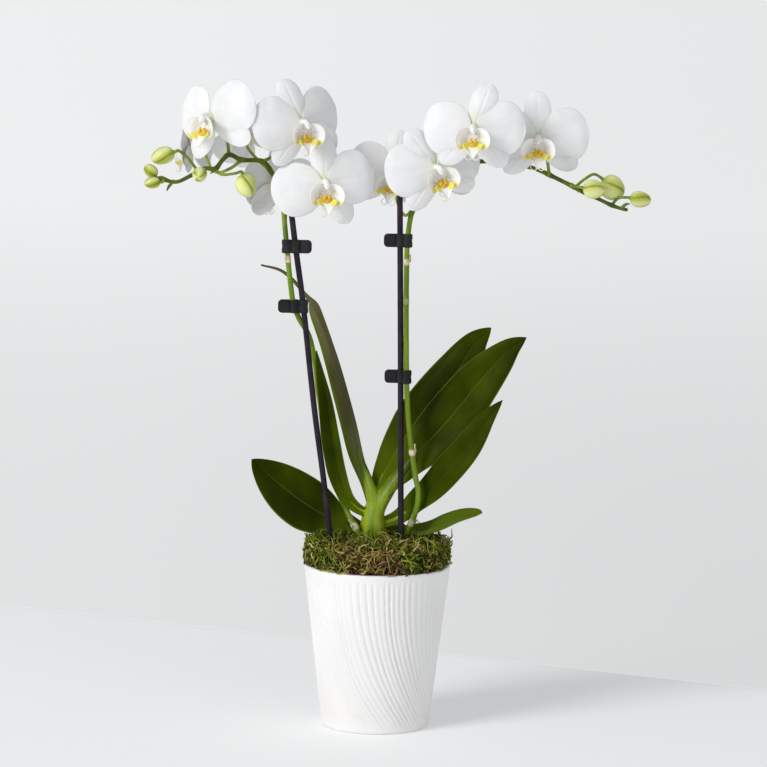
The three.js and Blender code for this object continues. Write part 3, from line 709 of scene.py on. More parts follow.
def leaf(number, spec):
    shape = Shape()
    rows, cols = 110, 35
    t = np.linspace(0, 1, rows)
    pace = 1 - (1 - t) ** 1.25
    fine = route(spots(spec["route"]), 400)
    path = np.column_stack([np.interp(pace, np.linspace(0, 1, 400), fine[:, k]) for k in range(3)])
    along = unit(np.gradient(path, axis=0))
    turned = smooth(pace, *spec["twist"]) if "twist" in spec else pace
    low_face, high_face = np.array(spec["face"][0]), np.array(spec["face"][1])
    face = low_face + (high_face - low_face) * turned[:, None]
    across = unit(np.cross(along, unit(face)))
    normal = np.cross(across, along)
    peak, width = spec["peak"], spec["width"]
    base_half = spec.get("base", 5.0)
    grow = base_half + (width / 2 - base_half) * smooth(pace, 0, peak)
    past = np.clip((pace - peak) / (1 - peak), 0, 1)
    half = np.where(pace < peak, grow, (width / 2) * (1 - past**2) ** spec.get("taper", 0.8))
    half = np.maximum(half, 0.25)
    u = np.linspace(-1, 1, cols)
    lean = math.radians(spec["fold"])
    steep = lean + (math.radians(48) - lean) * (1 - smooth(pace, 0.0, 0.22))
    ramp = np.sqrt(u**2 + 0.012) - math.sqrt(0.012)
    droop = -0.16 * u**4
    rise = ramp[None] * np.sin(steep)[:, None] + droop[None] * smooth(pace, 0.1, 0.5)[:, None]
    rise = half[:, None] * rise
    wave = 0.9 * smooth(half, 4, 14)[:, None] * u[None] ** 2 * np.sin(
        7.0 * pace[:, None] + number * 1.7 + 1.1 * np.sign(u)[None])
    cover = path[:, None] + across[:, None] * (u[None] * half[:, None] * np.cos(steep)[:, None])[..., None]
    cover = cover + normal[:, None] * (rise + wave)[..., None]
    body = leaf_thickness * (0.32 + 0.68 * (1 - u**2)) * 0.85
    thick = body[None] * (0.45 + 0.55 * np.interp(pace, [0, 0.15, 1], [1.3, 1.0, 0.25]))[:, None]
    groove = 0.5 * np.exp(-((u / 0.05) ** 2))[None] * smooth(pace, 0.12, 0.3)[:, None] * np.ones_like(thick)
    cover = cover - normal[:, None] * groove[..., None]
    strip = smooth(u * spec.get("strip", 0), 0.62, 0.8)[None] * smooth(pace, 0.02, 0.1)[:, None]
    shape.plate(cover, np.maximum(thick, 0.25), along=pace[:, None], across=u[None], tone=spec["tone"],
                mark=strip)
    shape.make(f"leaf_blade_{number}", leaf_material, "leaf_green", f"leaf_{number}")


for number, spec in enumerate(leaves, 1):
    leaf(number, spec)


# ---- crown: the short stem and the clasping leaf stalks, grown into one ----
def crown():
    shape = Shape()
    axis = route(spots([(-4, 0, -24), (-4, 0, 10), (-4, 0, 30), (-3, 0.5, 44)]), 40)
    shape.tube(axis, profile(40, [0, 0.4, 0.8, 1], [7.0, 10.5, 11.0, 8.5]), 28, flat=0.88)
    arms = ((5, 26, 9.5, 4.0, 0.27, 36), (2, 28, 7.6, 2.2, 0.20, 38), (4, 24, 5.6, 2.0, 0.13, 36),
            (6, 16, 4.2, 2.0, 0.16, 22), (1, 14, 4.2, 2.0, 0.14, 18), (3, 16, 4.0, 1.6, 0.13, 24),
            (7, 14, 4.0, 2.0, 0.14, 16))
    for number, foot, wide, thin, reach, mid in arms:
        spec = leaves[number - 1]
        fine = route(spots(spec["route"]), 200)
        steps = [fine[0], fine[int(100 * reach)], fine[int(200 * reach)]]
        path = route([(-4, 0, RIM + foot - 6), (-3.6, 0.2, RIM + (foot + mid) / 2)] + steps, 40)
        shape.tube(path, profile(40, [0, 0.5, 1], [wide, wide * 0.85, thin]), 20, flat=0.7)
    piece = shape.make("crown_core", crown_material, "crown_green", "crown_and_roots")
    for kind, settings in (("REMESH", {"mode": "VOXEL", "voxel_size": 0.0006}),
                           ("SMOOTH", {"factor": 0.6, "iterations": 14})):
        modifier = piece.modifiers.new(kind.lower(), kind)
        for key, value in settings.items():
            setattr(modifier, key, value)
    grown = bpy.data.meshes.new_from_object(piece.evaluated_get(bpy.context.evaluated_depsgraph_get()))
    piece.modifiers.clear()
    piece.data = grown
    grown.polygons.foreach_set("use_smooth", [True] * len(grown.polygons))


crown()


# ---- flower spikes ----
spike_radius, rachis_radius, heart_radius = 2.1, 1.7, 4.0
left_stem = [(-8, -4, 14), (-15, -8, 25), (-21, -5, 35), (-28, 3, 48), (-33.5, 8, 59), (-38, 9.5, 70),
             (-43.2, 9, 94), (-45.5, 9, 117), (-48.5, 8.5, 135), (-51.5, 6, 160), (-56.5, 0, 180),
             (-63.5, -8, 193), (-68.3, -12.5, 206), (-70.5, -13, 220), (-72.7, -12.5, 238),
             (-74.2, -11, 252), (-76, -6, 268), (-77.5, 0, 285)]
left_rachis = [(-76, -6, 268), (-77.5, 0, 289), (-86, 1, 305), (-93.7, 1, 314.5), (-110.4, 1, 315.8),
               (-120.2, 1, 319.5), (-125.6, 1, 314.5), (-130.7, 1, 308.3), (-138.5, 1, 308.6),
               (-148.5, 1, 303.4), (-161, 1, 297.7), (-172.9, 1, 300.2)]
left_bract = [(-163, 1, 298.5), (-166.5, 1, 294), (-168, 0.5, 291)]
right_stem = [(4, -4, 12), (18, -6, 20), (24.5, -8.5, 30.5), (28.8, -10.5, 41.5), (31.3, -12.5, 53.5),
              (31, -13.5, 62), (29, -14, 70), (26, -14, 90), (23, -14.5, 113), (20.9, -14.5, 140),
              (19.9, -14.5, 175), (19.3, -14.5, 210), (19.2, -14.5, 239),
              (19.4, -14, 254), (20.5, -9, 266), (22.5, -2, 278)]
right_rachis = [(20.5, -9, 266), (22.5, -2, 277), (30, 4, 290), (42, 10, 304), (58, 15, 313.5),
                (78, 19, 316.5), (100, 17, 315.5), (118.6, 10, 311.7), (129.1, 6, 307.5), (148.4, 3, 298.5),
                (157, 1, 294), (168, 1, 289.5), (176.5, 1, 285.5), (183.5, 1, 283), (189.5, 1, 281.6)]
right_bract = [(185, 1, 282.5), (189, 0, 286), (191.5, -2, 286.5)]

even_angles = (0, 85, 127, -127, -85)
left_flowers = [
    dict(at=(-133, -23.5, 350), yaw=-36, pitch=4, angles=(44, 66, 118, -148, -82), dorsal=0.7,
         petal=(0.98, 0.88), stalk=[(-120, 1, 319.5), (-122, 0, 334)]),
    dict(at=(-106, 22, 332), yaw=172, pitch=45, roll=35, size=0.8, stalk=[(-89, 1, 308.5), (-98, 4, 316)]),
    dict(at=(-152, 38, 323), yaw=-112, pitch=-4, size=0.76,
         stalk=[(-110, 1, 315.5), (-120, 9, 308), (-133, 25, 305)]),
    dict(at=(-84, 37, 294), yaw=-146, pitch=-5, size=0.9, stalk=[(-84, 1, 302), (-84, 12, 298)]),
    dict(at=(-63, -25, 346.5), yaw=25, pitch=2, angles=(-24, 70, 120, -150, -92), sweep=(22, 6),
         stalk=[(-93.5, 1, 314.5), (-82, 0, 322)]),
    dict(at=(-44.5, -24, 301), yaw=9, angles=(-4, 80, 148, -130, -106), petal=(1, 1.06),
         stalk=[(-77.5, 1, 289), (-62, 2, 294)]),
]
right_flowers = [
    dict(at=(8, 14, 306), yaw=-4, roll=8, size=0.95, stalk=[(22.5, -2, 278), (17, 10, 274), (11, 24, 284)]),
    dict(at=(40.5, -14, 313), yaw=18, roll=-14, angles=(-24, 84, 128, -138, -82),
         stalk=[(28, 3, 288), (35, 2, 300)]),
    dict(at=(69, -27, 345), yaw=-5, pitch=4, angles=(19, 90, 140, -138, -92),
         stalk=[(58, 14, 314), (62, 15, 336), (66, 2, 348)]),
    dict(at=(120, 4, 336.5), yaw=-3, pitch=2, angles=(-3, 84, 128, -137, -88),
         stalk=[(129, 5, 307.5), (127, 11, 320)]),
    dict(at=(43, 50, 307), yaw=165, roll=10, size=0.85, stalk=[(62, 16, 315), (56, 30, 311)]),
]
left_buds = [
    dict(at=(-106, -6, 296.5), tip=(0.35, -0.1, -0.93), long=18, wide=16.5, tone=0.05,
         stalk=[(-130.5, 1, 308.5), (-126, -3, 304.5), (-115, -6, 305.5)]),
    dict(at=(-142, -11, 304.5), tip=(-0.15, -0.95, -0.2), long=13, wide=11.5, tone=0.5,
         stalk=[(-143, 1, 306), (-143, -2, 306)]),
    dict(at=(-171, -3, 318), tip=(-0.93, 0, -0.35), long=18, wide=13.4, tone=0.6,
         stalk=[(-144.5, 1, 307), (-154, 0, 318.5), (-160, -2, 322.5)]),
    dict(at=(-181, 6, 305.5), tip=(-0.65, 0.2, 0.7), long=12, wide=10, tone=0.9, stalk=[(-171, 1, 300.5)]),
    dict(at=(-179, -3.5, 297), tip=(-0.98, -0.15, -0.1), long=12, wide=9.2, tone=0.9,
         stalk=[(-170, 1, 300)]),
]
right_buds = [
    dict(at=(163, -9, 298), tip=(0.95, -0.25, -0.1), long=16.5, wide=15, tone=0.15, stalk=[(146, 2, 299.5)]),
    dict(at=(178.5, 8, 298), tip=(0.75, 0.1, -0.65), long=20, wide=19, tone=0.35,
         stalk=[(149, 2, 298.5), (157, 5, 305), (164, 7, 308.5)]),
    dict(at=(200, 1, 290), tip=(0.98, 0, -0.12), long=16, wide=12.6, tone=0.75,
         stalk=[(178, 1, 285.5), (183, 1, 290.5)]),
]


def facing(spec):
    yaw, pitch = math.radians(spec["yaw"]), math.radians(spec.get("pitch", 0))
    return np.array([math.sin(yaw) * math.cos(pitch), -math.cos(yaw) * math.cos(pitch), math.sin(pitch)])


def stance(spec):
    """The flower's own axes, right, up and forward, as the columns of a matrix."""
    yaw, roll = math.radians(spec["yaw"]), math.radians(spec.get("roll", 0))
    forward = facing(spec)
    right = np.array([math.cos(yaw), math.sin(yaw), 0.0])
    up = np.cross(forward, right)
    leant_up = up * math.cos(roll) + right * math.sin(roll)
    leant_right = right * math.cos(roll) - up * math.sin(roll)
    return np.column_stack([leant_right, leant_up, forward]) * spec.get("size", 1.0)


def scale_leaf(shape, at, way, length, width, tone, mark=0.0):
    """A small pointed bract that clasps a stem."""
    way = unit(way)
    side = unit(np.cross(way, [0.1, 0.3, 0.95]) if abs(way[2]) < 0.9 else np.cross(way, [1, 0, 0]))
    normal = np.cross(side, way)
    t = np.linspace(0, 1, 9)[:, None, None]
    u = np.linspace(-1, 1, 9)[None, :, None]
    half = width / 2 * (1 - t**1.6) + 0.08
    surface = at + way * t * length + side * u * half + normal * (0.45 * width * (1 - u**2) * (1 - 0.5 * t))
    shape.plate(surface, 0.35, tone=tone, mark=mark)


def spike(side, stem, rachis, bract, flowers, buds, nodes):
    """One spike: stem, branch, bracts, and the flowers' and buds' stalks.

    nodes are the stem's thick rings: height, size and paleness.
    """
    shape = Shape()
    path = route(spots(stem), 260)
    height = path[:, 2] - RIM
    radius = spike_radius * np.interp(height, [10, 60, 285], [1.15, 1.05, 0.95])
    mark = np.zeros(len(path))
    tone = np.interp(height, [10, 60, 230, 285], [0.5, 0.55, 0.5, 0.38])
    for z, size, pale in nodes:
        band = np.exp(-(((height - z) / 2.6) ** 2))
        radius = radius + 0.42 * size * band
        mark = np.maximum(mark, pale * smooth(band, 0.25, 0.75))
    radius = radius + 0.07 * ripple(path, 17.0, 9)
    shape.tube(path, radius, 20, tone=tone, mark=mark)
    for k, (z, size, pale) in enumerate(nodes):
        i = int(np.argmin(np.abs(height - z)))
        ahead = unit(path[min(i + 3, len(path) - 1)] - path[i])
        out = np.array([1.0 if k % 2 else -1.0, -0.5, 0.0]) * spike_radius * 0.75
        scale_leaf(shape, path[i] + out, ahead + unit(out) * 0.12, 6.0 * size, 3.8, 0.6, 0.75 * pale)
    line = route(spots(rachis), 200)
    width = rachis_radius * (1 + 0.05 * ripple(line, 11.0, 12)) * profile(200, [0, 0.7, 1], [1.15, 1, 0.8])
    starts = [spot(f["stalk"][0]) for f in flowers + buds]
    for start in starts:
        width = width + 0.4 * np.exp(-((np.linalg.norm(line - start, axis=1) / 3.0) ** 2))
    shape.tube(line, width, 18, tone=profile(200, [0, 0.15, 1], [0.4, 0.2, 0.16]))
    for k, start in enumerate(starts):
        i = int(np.argmin(np.linalg.norm(line - start, axis=1)))
        way = unit(line[min(i + 2, 199)] - line[max(i - 2, 0)]) + np.array([0, 0, -0.3])
        aside = np.array([0, 0, 1.2 if k % 2 else -1.2])
        scale_leaf(shape, line[i] + aside, way, 4.5, 3.0, 0.35)
    small = route(spots(bract), 20)
    shape.tube(small, profile(20, [0, 0.6, 1], [1.3, 1.2, 0.5]), 12, tone=0.3)
    for f in flowers:
        forward = facing(f)
        back = spot(f["at"]) - forward * (0.9 * heart_radius * f.get("size", 1.0) - 0.6)
        way = route(spots(f["stalk"]) + [back - forward * 6.5, back], 50)
        shape.tube(way, profile(50, [0, 0.08, 0.8, 1], [1.75, 1.25, 1.15, 1.7]), 14,
                   tone=profile(50, [0, 0.2, 1], [0.5, 0.7, 1.0]))
    for b in buds:
        point = unit(b["tip"])
        end = spot(b["at"]) - point * (b["long"] / 2 - 0.5)
        way = route(spots(b["stalk"]) + [end - point * 2.5, end], 40)
        shape.tube(way, profile(40, [0, 0.1, 0.85, 1], [1.6, 1.15, 1.1, 1.5]), 14,
                   tone=profile(40, [0, 0.3, 1], [0.4, 0.6, 0.62]))
    shape.make(f"{side}_spike_stem", stem_material, "stem_green", f"{side}_spike")


spike("left", left_stem, left_rachis, left_bract, left_flowers, left_buds,
      [(30, 1.2, 0.8), (118, 1.1, 1.0), (240, 1.0, 1.0), (284, 0.7, 0.1)])
spike("right", right_stem, right_rachis, right_bract, right_flowers, right_buds,
      [(34.5, 1.2, 0.6), (90.5, 1.1, 1.0), (209, 0.7, 0.3), (239.5, 1.0, 1.0)])


# ---- flowers ----
def tepal(shape, reach, width, degrees, lift, sweep, widest, bulge, frill, seed, tint):
    a = math.radians(degrees)
    out, side = np.array([math.sin(a), math.cos(a), 0.0]), np.array([math.cos(a), -math.sin(a), 0.0])
    back = math.sin(math.radians(sweep))
    start, claw = 2.0, 2.4
    rows, cols = 44, 33
    raw = np.linspace(0, 1, rows)
    t = ((1 - np.cos(math.pi * raw)) / 2)[:, None]
    eased = np.sin(np.linspace(-math.pi / 2, math.pi / 2, cols))
    u = eased[None] * 0.35 + np.linspace(-1, 1, cols)[None] * 0.65
    share = np.where(t < widest, (t - widest) / widest, (t - widest) / (1 - widest))
    half = (width / 2) * np.sqrt(np.clip(1 - np.abs(share) ** 2.15, 0, 1))
    half = np.maximum(half, np.where(t < 0.3, claw * (1 - t), 0.3))
    along = start + (reach - start) * t
    edge = np.abs(u) ** 2.2
    ruffle = frill * edge * smooth(t, 0.15, 0.6) * ripple(
        np.stack(np.broadcast_arrays(along * np.sign(u), u * 6.0), -1), 24.0, seed, 2)
    dome = bulge * np.sin(math.pi * np.clip(t, 0, 1)) * (1 - u**2 * 1.15)
    crease = -0.5 * np.exp(-((u / 0.07) ** 2)) * smooth(t, 0.0, 0.2) * (1 - smooth(t, 0.7, 1.0))
    z = lift - back * along - 0.1 * half * u**2 + dome + ruffle + crease - 1.2 * smooth(t, 0.75, 1.0) ** 2
    surface = (out * (along * math.sqrt(1 - back * back))[..., None] + side * (u * half)[..., None]
               + np.array([0, 0, 1.0]) * z[..., None])
    thick = 0.95 * (0.35 + 0.65 * (1 - u**4)) * (1.25 - 0.7 * t)
    shape.plate(surface, thick, along=np.broadcast_to(t, z.shape),
                across=np.broadcast_to(u, z.shape), tone=tint)


def tepals(spec, seed):
    shape = Shape()
    own = np.random.default_rng(100 + seed)
    dorsal, right_petal, right_sepal, left_sepal, left_petal = spec.get("angles", even_angles)
    sweep, petal = spec.get("sweep", (10, 10)), spec.get("petal", (1, 1))
    top = spec.get("dorsal", 1) * 36
    # reach, width, angle, lift, sweep, where it is widest, bulge, frill, tint
    rows = ((top, 21, dorsal, -1.0, 5, 0.55, 1.6, 0.5, 0.45),
            (38, 21, right_sepal, -1.0, 8, 0.5, 1.4, 0.5, 0.6),
            (38, 21, left_sepal, -1.0, 8, 0.5, 1.4, 0.5, 0.6),
            (40 * petal[0], 42, right_petal, 0.8, sweep[0], 0.55, 2.0, 0.9, 0.15),
            (40 * petal[1], 42, left_petal, 0.8, sweep[1], 0.55, 2.0, 0.9, 0.15))
    for k, (reach, width, degrees, lift, back, widest, bulge, frill, tint) in enumerate(rows, 1):
        bulge = bulge * own.uniform(0.75, 1.25)
        tepal(shape, reach, width, degrees, lift, back, widest, bulge, frill, seed * 7 + k, tint)
    turns = np.linspace(-math.pi / 2, math.pi / 2, 14)
    heart = [(3.6 * math.cos(q), 3.2 * math.sin(q) - 0.2) for q in turns]
    shape.turned(rings_about(heart, circle(24)), tone=0.8, along=0.0)
    return shape


def blob(shape, at, size, lean=0.0, **numbers):
    """A small ellipsoid, leant sideways along its depth."""
    angle = circle(20)
    rings = []
    for q in np.linspace(-math.pi / 2, math.pi / 2, 12):
        c = math.cos(q)
        x = size[0] * c * np.cos(angle) + lean * math.sin(q)
        y, z = size[1] * c * np.sin(angle), np.full(20, size[2] * math.sin(q))
        rings.append(np.column_stack([x, y, z]) + at)
    shape.turned(np.array(rings), **numbers)


def lip():
    """A hooded column over a cup of two side lobes, a golden callus, and a middle lobe with tendrils."""
    shape = Shape()
    path = route([(0, 0.2, 2.6), (0, 0.4, 6.0), (0, -0.9, 9.5), (0, -3.8, 12.0)], 26)
    s = np.linspace(0, 1, 26)
    shape.tube(path, np.interp(s, [0, 0.25, 0.6, 0.8, 1], [2.3, 2.2, 2.7, 3.0, 1.7]), 20, flat=0.9,
               tone=0.0, mark=np.interp(s, [0, 0.5, 0.8, 1], [0.0, 0.1, 0.4, 0.5]))
    blob(shape, (0, -9.0, 4.4), (5.6, 7.0, 2.2), tone=0.2, mark=1.0)
    for side in (-1, 1):
        v = np.linspace(0.0, 1, 24)[:, None]
        u = np.linspace(-1, 1, 29)[None]
        turn = np.radians(-42 + (u + 1) / 2 * 118)
        end = 1 - 0.22 * np.abs(u) ** 3.5
        r = 4.2 + (7.4 * v**0.85 + 1.5 * smooth(v, 0.7, 1.0) * (1 - smooth(u, 0.2, 1.0))) * end
        x = side * (r * np.cos(turn) + 0.6 * v * (1 - u) / 2)
        y = -10.2 + 0.96 * r * np.sin(turn)
        z = 4.6 + 9.4 * v**1.25 * end - 1.6 * smooth(u, 0.3, 1.0) * v + 0.4 * np.sin(5 * u + side) * v
        surface = np.stack(np.broadcast_arrays(x, y, z), -1)
        yellow = np.clip(0.54 * (1 - smooth(u, -0.9, -0.3)) * smooth(v, 0.15, 0.5)
                         + 0.35 * (1 - smooth(v, 0.1, 0.3)), 0, 0.7)
        spots = (1 - smooth(v, 0.35, 0.75)) * (1 - 0.3 * smooth(u, 0.4, 1.0))
        if side < 0:
            surface, yellow, spots = surface[:, ::-1], yellow[:, ::-1], spots[:, ::-1]
        shape.plate(surface, 0.7 * (1.25 - 0.6 * v) * np.ones_like(u), tone=yellow, mark=spots)
    t = np.linspace(0, 1, 36)[:, None]
    u = np.linspace(-1, 1, 27)[None]
    half = np.interp(t, [0, 0.14, 0.32, 0.5, 0.75, 1], [2.6, 5.0, 8.4, 7.0, 3.6, 1.1])
    spine = route([(0, -12.0, 5.6), (0, -15.5, 9.2), (0, -19.5, 12.0), (0, -24.0, 13.4)], 36)
    wing = smooth(np.abs(u), 0.3, 1.0) * half * 0.5
    lobe = np.broadcast_arrays(u * half, spine[:, 1:2] + 0.45 * wing, spine[:, 2:3] + 0.8 * wing)
    surface = np.stack(lobe, -1)
    flanks = 0.66 * smooth(np.abs(u), 0.25, 0.6) * (1 - smooth(t, 0.5, 0.75))
    yellow = np.clip(flanks + 1 - smooth(t, 0.05, 0.25), 0, 0.78)
    streaks = 0.5 * (1 - smooth(t, 0.1, 0.4)) * np.ones_like(u)
    shape.plate(surface, 0.9 * np.ones_like(half * u), tone=yellow, mark=streaks)
    for side in (-1, 1):
        hook = route([(0.3 * side, -23.6, 13.4), (2.6 * side, -25.2, 14.6), (5.0 * side, -24.0, 15.2),
                      (5.4 * side, -21.6, 14.6), (3.8 * side, -20.6, 14.0)], 24)
        shape.tube(hook, profile(24, [0, 1], [0.42, 0.22]), 8, tone=0.3)
    blob(shape, (0, -13.6, 8.6), (3.4, 2.5, 2.4), tone=1.0, mark=1.0)
    for side in (-1, 1):
        blob(shape, (2.1 * side, -11.4, 9.8), (1.5, 2.6, 1.7), -0.5 * side, tone=1.0, mark=1.0)
    return shape


lip_shape = lip()
for number, spec in enumerate(left_flowers + right_flowers, 1):
    matrix, at = stance(spec), spot(spec["at"])
    name = f"flower_{number}"
    petals, labellum = tepals(spec, number).placed(matrix, at), lip_shape.placed(matrix, at)
    petals.make(f"{name}_petals", petal_material, "petal_white", f"{name}_tepals")
    labellum.make(f"{name}_labellum", lip_material, "lip_yellow", f"{name}_lip")


# ---- buds ----
def bud(number, spec):
    shape = Shape()
    rows, cols = 40, 60
    point = unit(spec["tip"])
    side = unit(np.cross(point, [0.2, 0.9, 0.35]))
    other = np.cross(point, side)
    s = np.linspace(0, math.pi, rows)
    angle = circle(cols)
    plump = np.sin(s) ** 0.86 * (1 + 0.08 * np.cos(s))
    front = math.atan2(-other[1], -side[1])
    turn = angle[None] - front + 0.35 * s[:, None] - 0.2
    # seam is each seam's own narrow dark line; shade is a broader painted shade in the crease about it.
    seam = np.exp(-((np.sin(1.5 * turn) / 0.15) ** 2))
    shade = np.exp(-((np.sin(1.5 * turn) / 0.34) ** 2))
    ridge = 0.03 * np.cos(3 * turn + math.pi)
    fade = smooth(s, 0.15, 0.8)[:, None] * (1 - smooth(s, 2.7, 3.14))[:, None]
    r = spec["wide"] / 2 * plump[:, None] * (1 - 0.11 * seam * fade - ridge * fade)
    height = -spec["long"] / 2 * np.cos(s) * (1 + 0.05 * smooth(s, 2.6, 3.14))
    surface = (spot(spec["at"]) + point * height[:, None, None] + side * (r * np.cos(angle))[..., None]
               + other * (r * np.sin(angle))[..., None])
    # across is highest down the middle of each sepal, where the bud material paints a highlight.
    shape.turned(surface, along=(s / math.pi)[:, None], across=np.abs(np.sin(1.5 * turn)), tone=spec["tone"],
                 mark=(0.45 * shade + 0.55 * seam) * fade)
    shape.make(f"bud_body_{number}", bud_material, "bud_green", f"bud_{number}")


for number, spec in enumerate(left_buds + right_buds, 1):
    bud(number, spec)


# ---- stakes and clips ----
stake_radius, clip_height, clip_wall, clip_tab = 2.3, 10.5, 1.3, 10.5
stake_routes = {
    "left": [(-36.2, -12, 14), (-42.4, -12, 64), (-50.6, -12, 121), (-61.2, -12, 209), (-66.3, -12, 244),
             (-72, -12, 286)],
    "right": [(18.3, -12, 17), (16.9, -12, 97), (14.9, -12, 205), (13, -12, 294)],
}


def stake(side):
    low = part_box(f"{side}_stake")[0].z / MM
    first, second = (spot(p) for p in stake_routes[side][:2])
    slope = (first[0] - second[0]) / (first[2] - second[2])
    foot = np.array([first[0] + slope * (low - first[2]), first[1], low + 1.0])
    path = route([foot] + spots(stake_routes[side]), 90)
    shape = Shape()
    shape.tube(path, stake_radius * (1 + 0.012 * ripple(path, 30.0, 14)), 24)
    shape.make(f"{side}_stake_rod", stake_material, "stake_plastic", f"{side}_stake")


stake("left")
stake("right")


def crossing(points, height):
    path = route(spots(points), 500)
    return path[int(np.argmin(np.abs(path[:, 2] - (RIM + height))))]


def clip(number, side, stem, height, tab_side):
    at_stake, at_stem = crossing(stake_routes[side], height), crossing(stem, height)
    z = RIM + height
    shape = Shape()
    angle = circle(40)
    h = clip_height / 2
    for centre, inner in ((at_stake, stake_radius + 0.05), (at_stem, spike_radius + 0.3)):
        outer = inner + clip_wall + 0.2
        groove = outer - 0.25
        section = [(inner, -h + 0.5), (inner + 0.4, -h), (outer - 0.5, -h), (outer, -h + 0.5), (outer, -1.4),
                   (groove, -1.1), (groove, 1.1), (outer, 1.4), (outer, h - 0.5), (outer - 0.5, h),
                   (inner + 0.4, h), (inner, h - 0.5)]
        rings = []
        for r, dz in section:
            x, y = centre[0] + r * np.cos(angle), centre[1] + r * np.sin(angle)
            rings.append(np.column_stack([x, y, np.full(40, z + dz)]))
        shape.add(np.vstack(rings), [wrapped(len(section), 40)])
    root = min(at_stake[0], at_stem[0]) if tab_side < 0 else max(at_stake[0], at_stem[0])
    holder = at_stake if abs(at_stake[0] - root) < 0.01 else at_stem
    start, end = root + tab_side * (spike_radius + 0.2), root + tab_side * (spike_radius + clip_tab)
    for y_off, y_half, inset in ((0.0, 0.9, 0.0), (-0.9, 0.35, 1.5)):
        x0, x1 = start + tab_side * inset, end - tab_side * inset
        slab(shape, rounded_tab(x0, x1, z, h - inset, 3.2 - 0.6 * inset), holder[1] + y_off, y_half)
    mid = (at_stake + at_stem) / 2
    outline = rounded_tab(mid[0] - 2.4, mid[0] + 2.4, z, h * 0.86, 0.6)
    slab(shape, outline, mid[1] - 0.2, 2.2)
    piece = shape.make(f"clip_body_{number}", clip_material, "clip_plastic", f"clip_{number}")
    bevel = piece.modifiers.new("edge", "BEVEL")
    bevel.width = 0.00025
    bevel.segments = 2
    bevel.limit_method = "ANGLE"
    for polygon in piece.data.polygons:
        polygon.use_smooth = False


def wrapped(rows, cols):
    """Quads over rings whose last joins the first, and whose last point joins the first."""
    i = np.arange(rows)[:, None]
    j = np.arange(cols)[None, :]
    a, b = i * cols + j, i * cols + (j + 1) % cols
    c, d = ((i + 1) % rows) * cols + (j + 1) % cols, ((i + 1) % rows) * cols + j
    return np.stack([a, b, c, d], -1).reshape(-1, 4)


def rounded_tab(x0, x1, z, half, corner):
    """Outline of a tab in the x-z plane, square at x0 and round at x1."""
    way = 1 if x1 > x0 else -1
    turn = np.linspace(-math.pi / 2, 0, 8)
    low = []
    for a in turn:
        x = x1 - way * corner + way * corner * math.cos(a)
        low.append((x, z - half + corner + corner * math.sin(a)))
    high = [(x, 2 * z - y) for x, y in reversed(low)]
    return np.array([(x0, z - half)] + low + high + [(x0, z + half)])[::way]


def slab(shape, outline, y, half):
    """A flat plate with the given outline, half as thick on each side of y."""
    n = len(outline)
    front = np.column_stack([outline[:, 0], np.full(n, y - half), outline[:, 1]])
    rear = front + [0, 2 * half, 0]
    i = np.arange(n)
    j = (i + 1) % n
    walls = np.stack([j, i, i + n, j + n], -1)
    shape.add(np.vstack([front, rear]), [[list(range(n))], [list(range(2 * n - 1, n - 1, -1))], walls])


clip(1, "left", left_stem, 250, 1)
clip(2, "left", left_stem, 203.5, -1)
clip(3, "right", right_stem, 256, -1)
clip(4, "right", right_stem, 150, -1)


# ---- floor, light and camera ----
camera_back, camera_aside, camera_up = 2.6, 0.00269, 0.59559


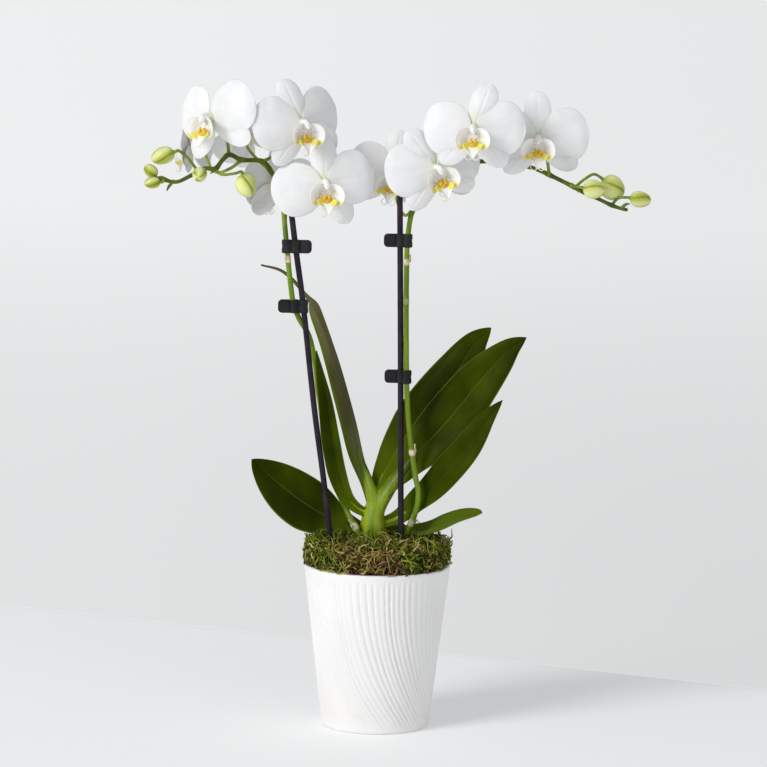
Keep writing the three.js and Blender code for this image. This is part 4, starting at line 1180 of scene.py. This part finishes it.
def ground():
    """A wide pale floor with a paler front and, beyond a slanting line, a darker part that glows by itself.

    The glow has a shade from left to right that is set out from the camera's distance.
    """
    mesh = bpy.data.meshes.new("floor")
    reach = 80
    corners = [(-reach, -reach, 0), (reach, -reach, 0), (reach, reach, 0), (-reach, reach, 0)]
    mesh.from_pydata(corners, [], [[0, 1, 2, 3]])
    look = Look("floor", 0.8, Specular_IOR_Level=0.0)
    place = look.node("SeparateXYZ", Vector=look.place())
    x, y = place.outputs[0], place.outputs[1]
    turn = math.radians(-25.2)
    across = look.times(look.plus(x, 0.0589), -math.sin(turn))
    behind = look.plus(across, look.times(look.math("SUBTRACT", y, 0.3199), math.cos(turn)))
    beyond = look.step(behind, 0.0, 0.012)
    slope = look.math("DIVIDE", x, look.plus(y, camera_back))
    aside = look.step(slope, -0.12, 0.12, 0.03, -0.03)
    far = look.plus(look.step(behind, 0.0, 5.0, 0.665, 0.79), aside)
    cloud = look.noise(1.2, 2.0)
    front = look.mix(cloud, (0.86, 0.872, 0.872), (0.885, 0.897, 0.897))
    look.colour(look.mix(beyond, front, (0.10, 0.10, 0.10)))
    look.feed(look.step(beyond, 0.0, 1.0, 0.145, far), look.shader.inputs["Emission Strength"])
    look.shader.inputs["Emission Color"].default_value = (0.985, 0.992, 1.0, 1.0)
    mesh.materials.append(look.material)
    floor = bpy.data.objects.new("floor", mesh)
    bpy.context.scene.collection.objects.link(floor)


ground()


def area_light(name, at, target, size, power, colour=(1, 1, 1)):
    data = bpy.data.lights.new(name, "AREA")
    data.shape = "DISK"
    data.size = size
    data.energy = power
    data.color = colour
    lamp = bpy.data.objects.new(name, data)
    lamp.location = at
    lamp.rotation_mode = "QUATERNION"
    lamp.rotation_quaternion = (Vector(target) - Vector(at)).to_track_quat("-Z", "Y")
    bpy.context.scene.collection.objects.link(lamp)


area_light("key", (-3.5, -3.1, 2.6), (0, 0, 0.25), 2.2, 149, (1.0, 0.995, 0.985))
area_light("fill", (1.6, -2.6, 1.0), (0, 0, 0.25), 1.6, 5, (0.97, 0.985, 1.0))

world = bpy.data.worlds.new("studio")
world.use_nodes = True
sky = world.node_tree.nodes["Background"]
sky.inputs["Color"].default_value = (0.96, 0.975, 1.0, 1)
sky.inputs["Strength"].default_value = 0.5
bpy.context.scene.world = world
bpy.context.scene.view_settings.view_transform = "Standard"
bpy.context.scene.view_settings.look = "None"

camera_data = bpy.data.cameras.new("camera")
camera_data.sensor_width = 36.0
camera_data.lens = 157.2
camera = bpy.data.objects.new("camera", camera_data)
pitch, roll = math.radians(7.113), math.radians(0.913)
ahead = Vector((0, math.cos(pitch), -math.sin(pitch)))
camera.location = Vector((camera_aside, -camera_back, camera_up))
camera.rotation_mode = "QUATERNION"
right = Vector((1, 0, 0))
up = Vector((0, math.sin(pitch), math.cos(pitch)))
tilted_right = right * math.cos(roll) + up * math.sin(roll)
tilted_up = up * math.cos(roll) - right * math.sin(roll)
turned_axes = [[tilted_right[k], tilted_up[k], -ahead[k]] for k in range(3)]
camera.rotation_quaternion = Matrix(turned_axes).to_quaternion()
camera_data.clip_end = 200
bpy.context.scene.collection.objects.link(camera)
bpy.context.scene.camera = camera
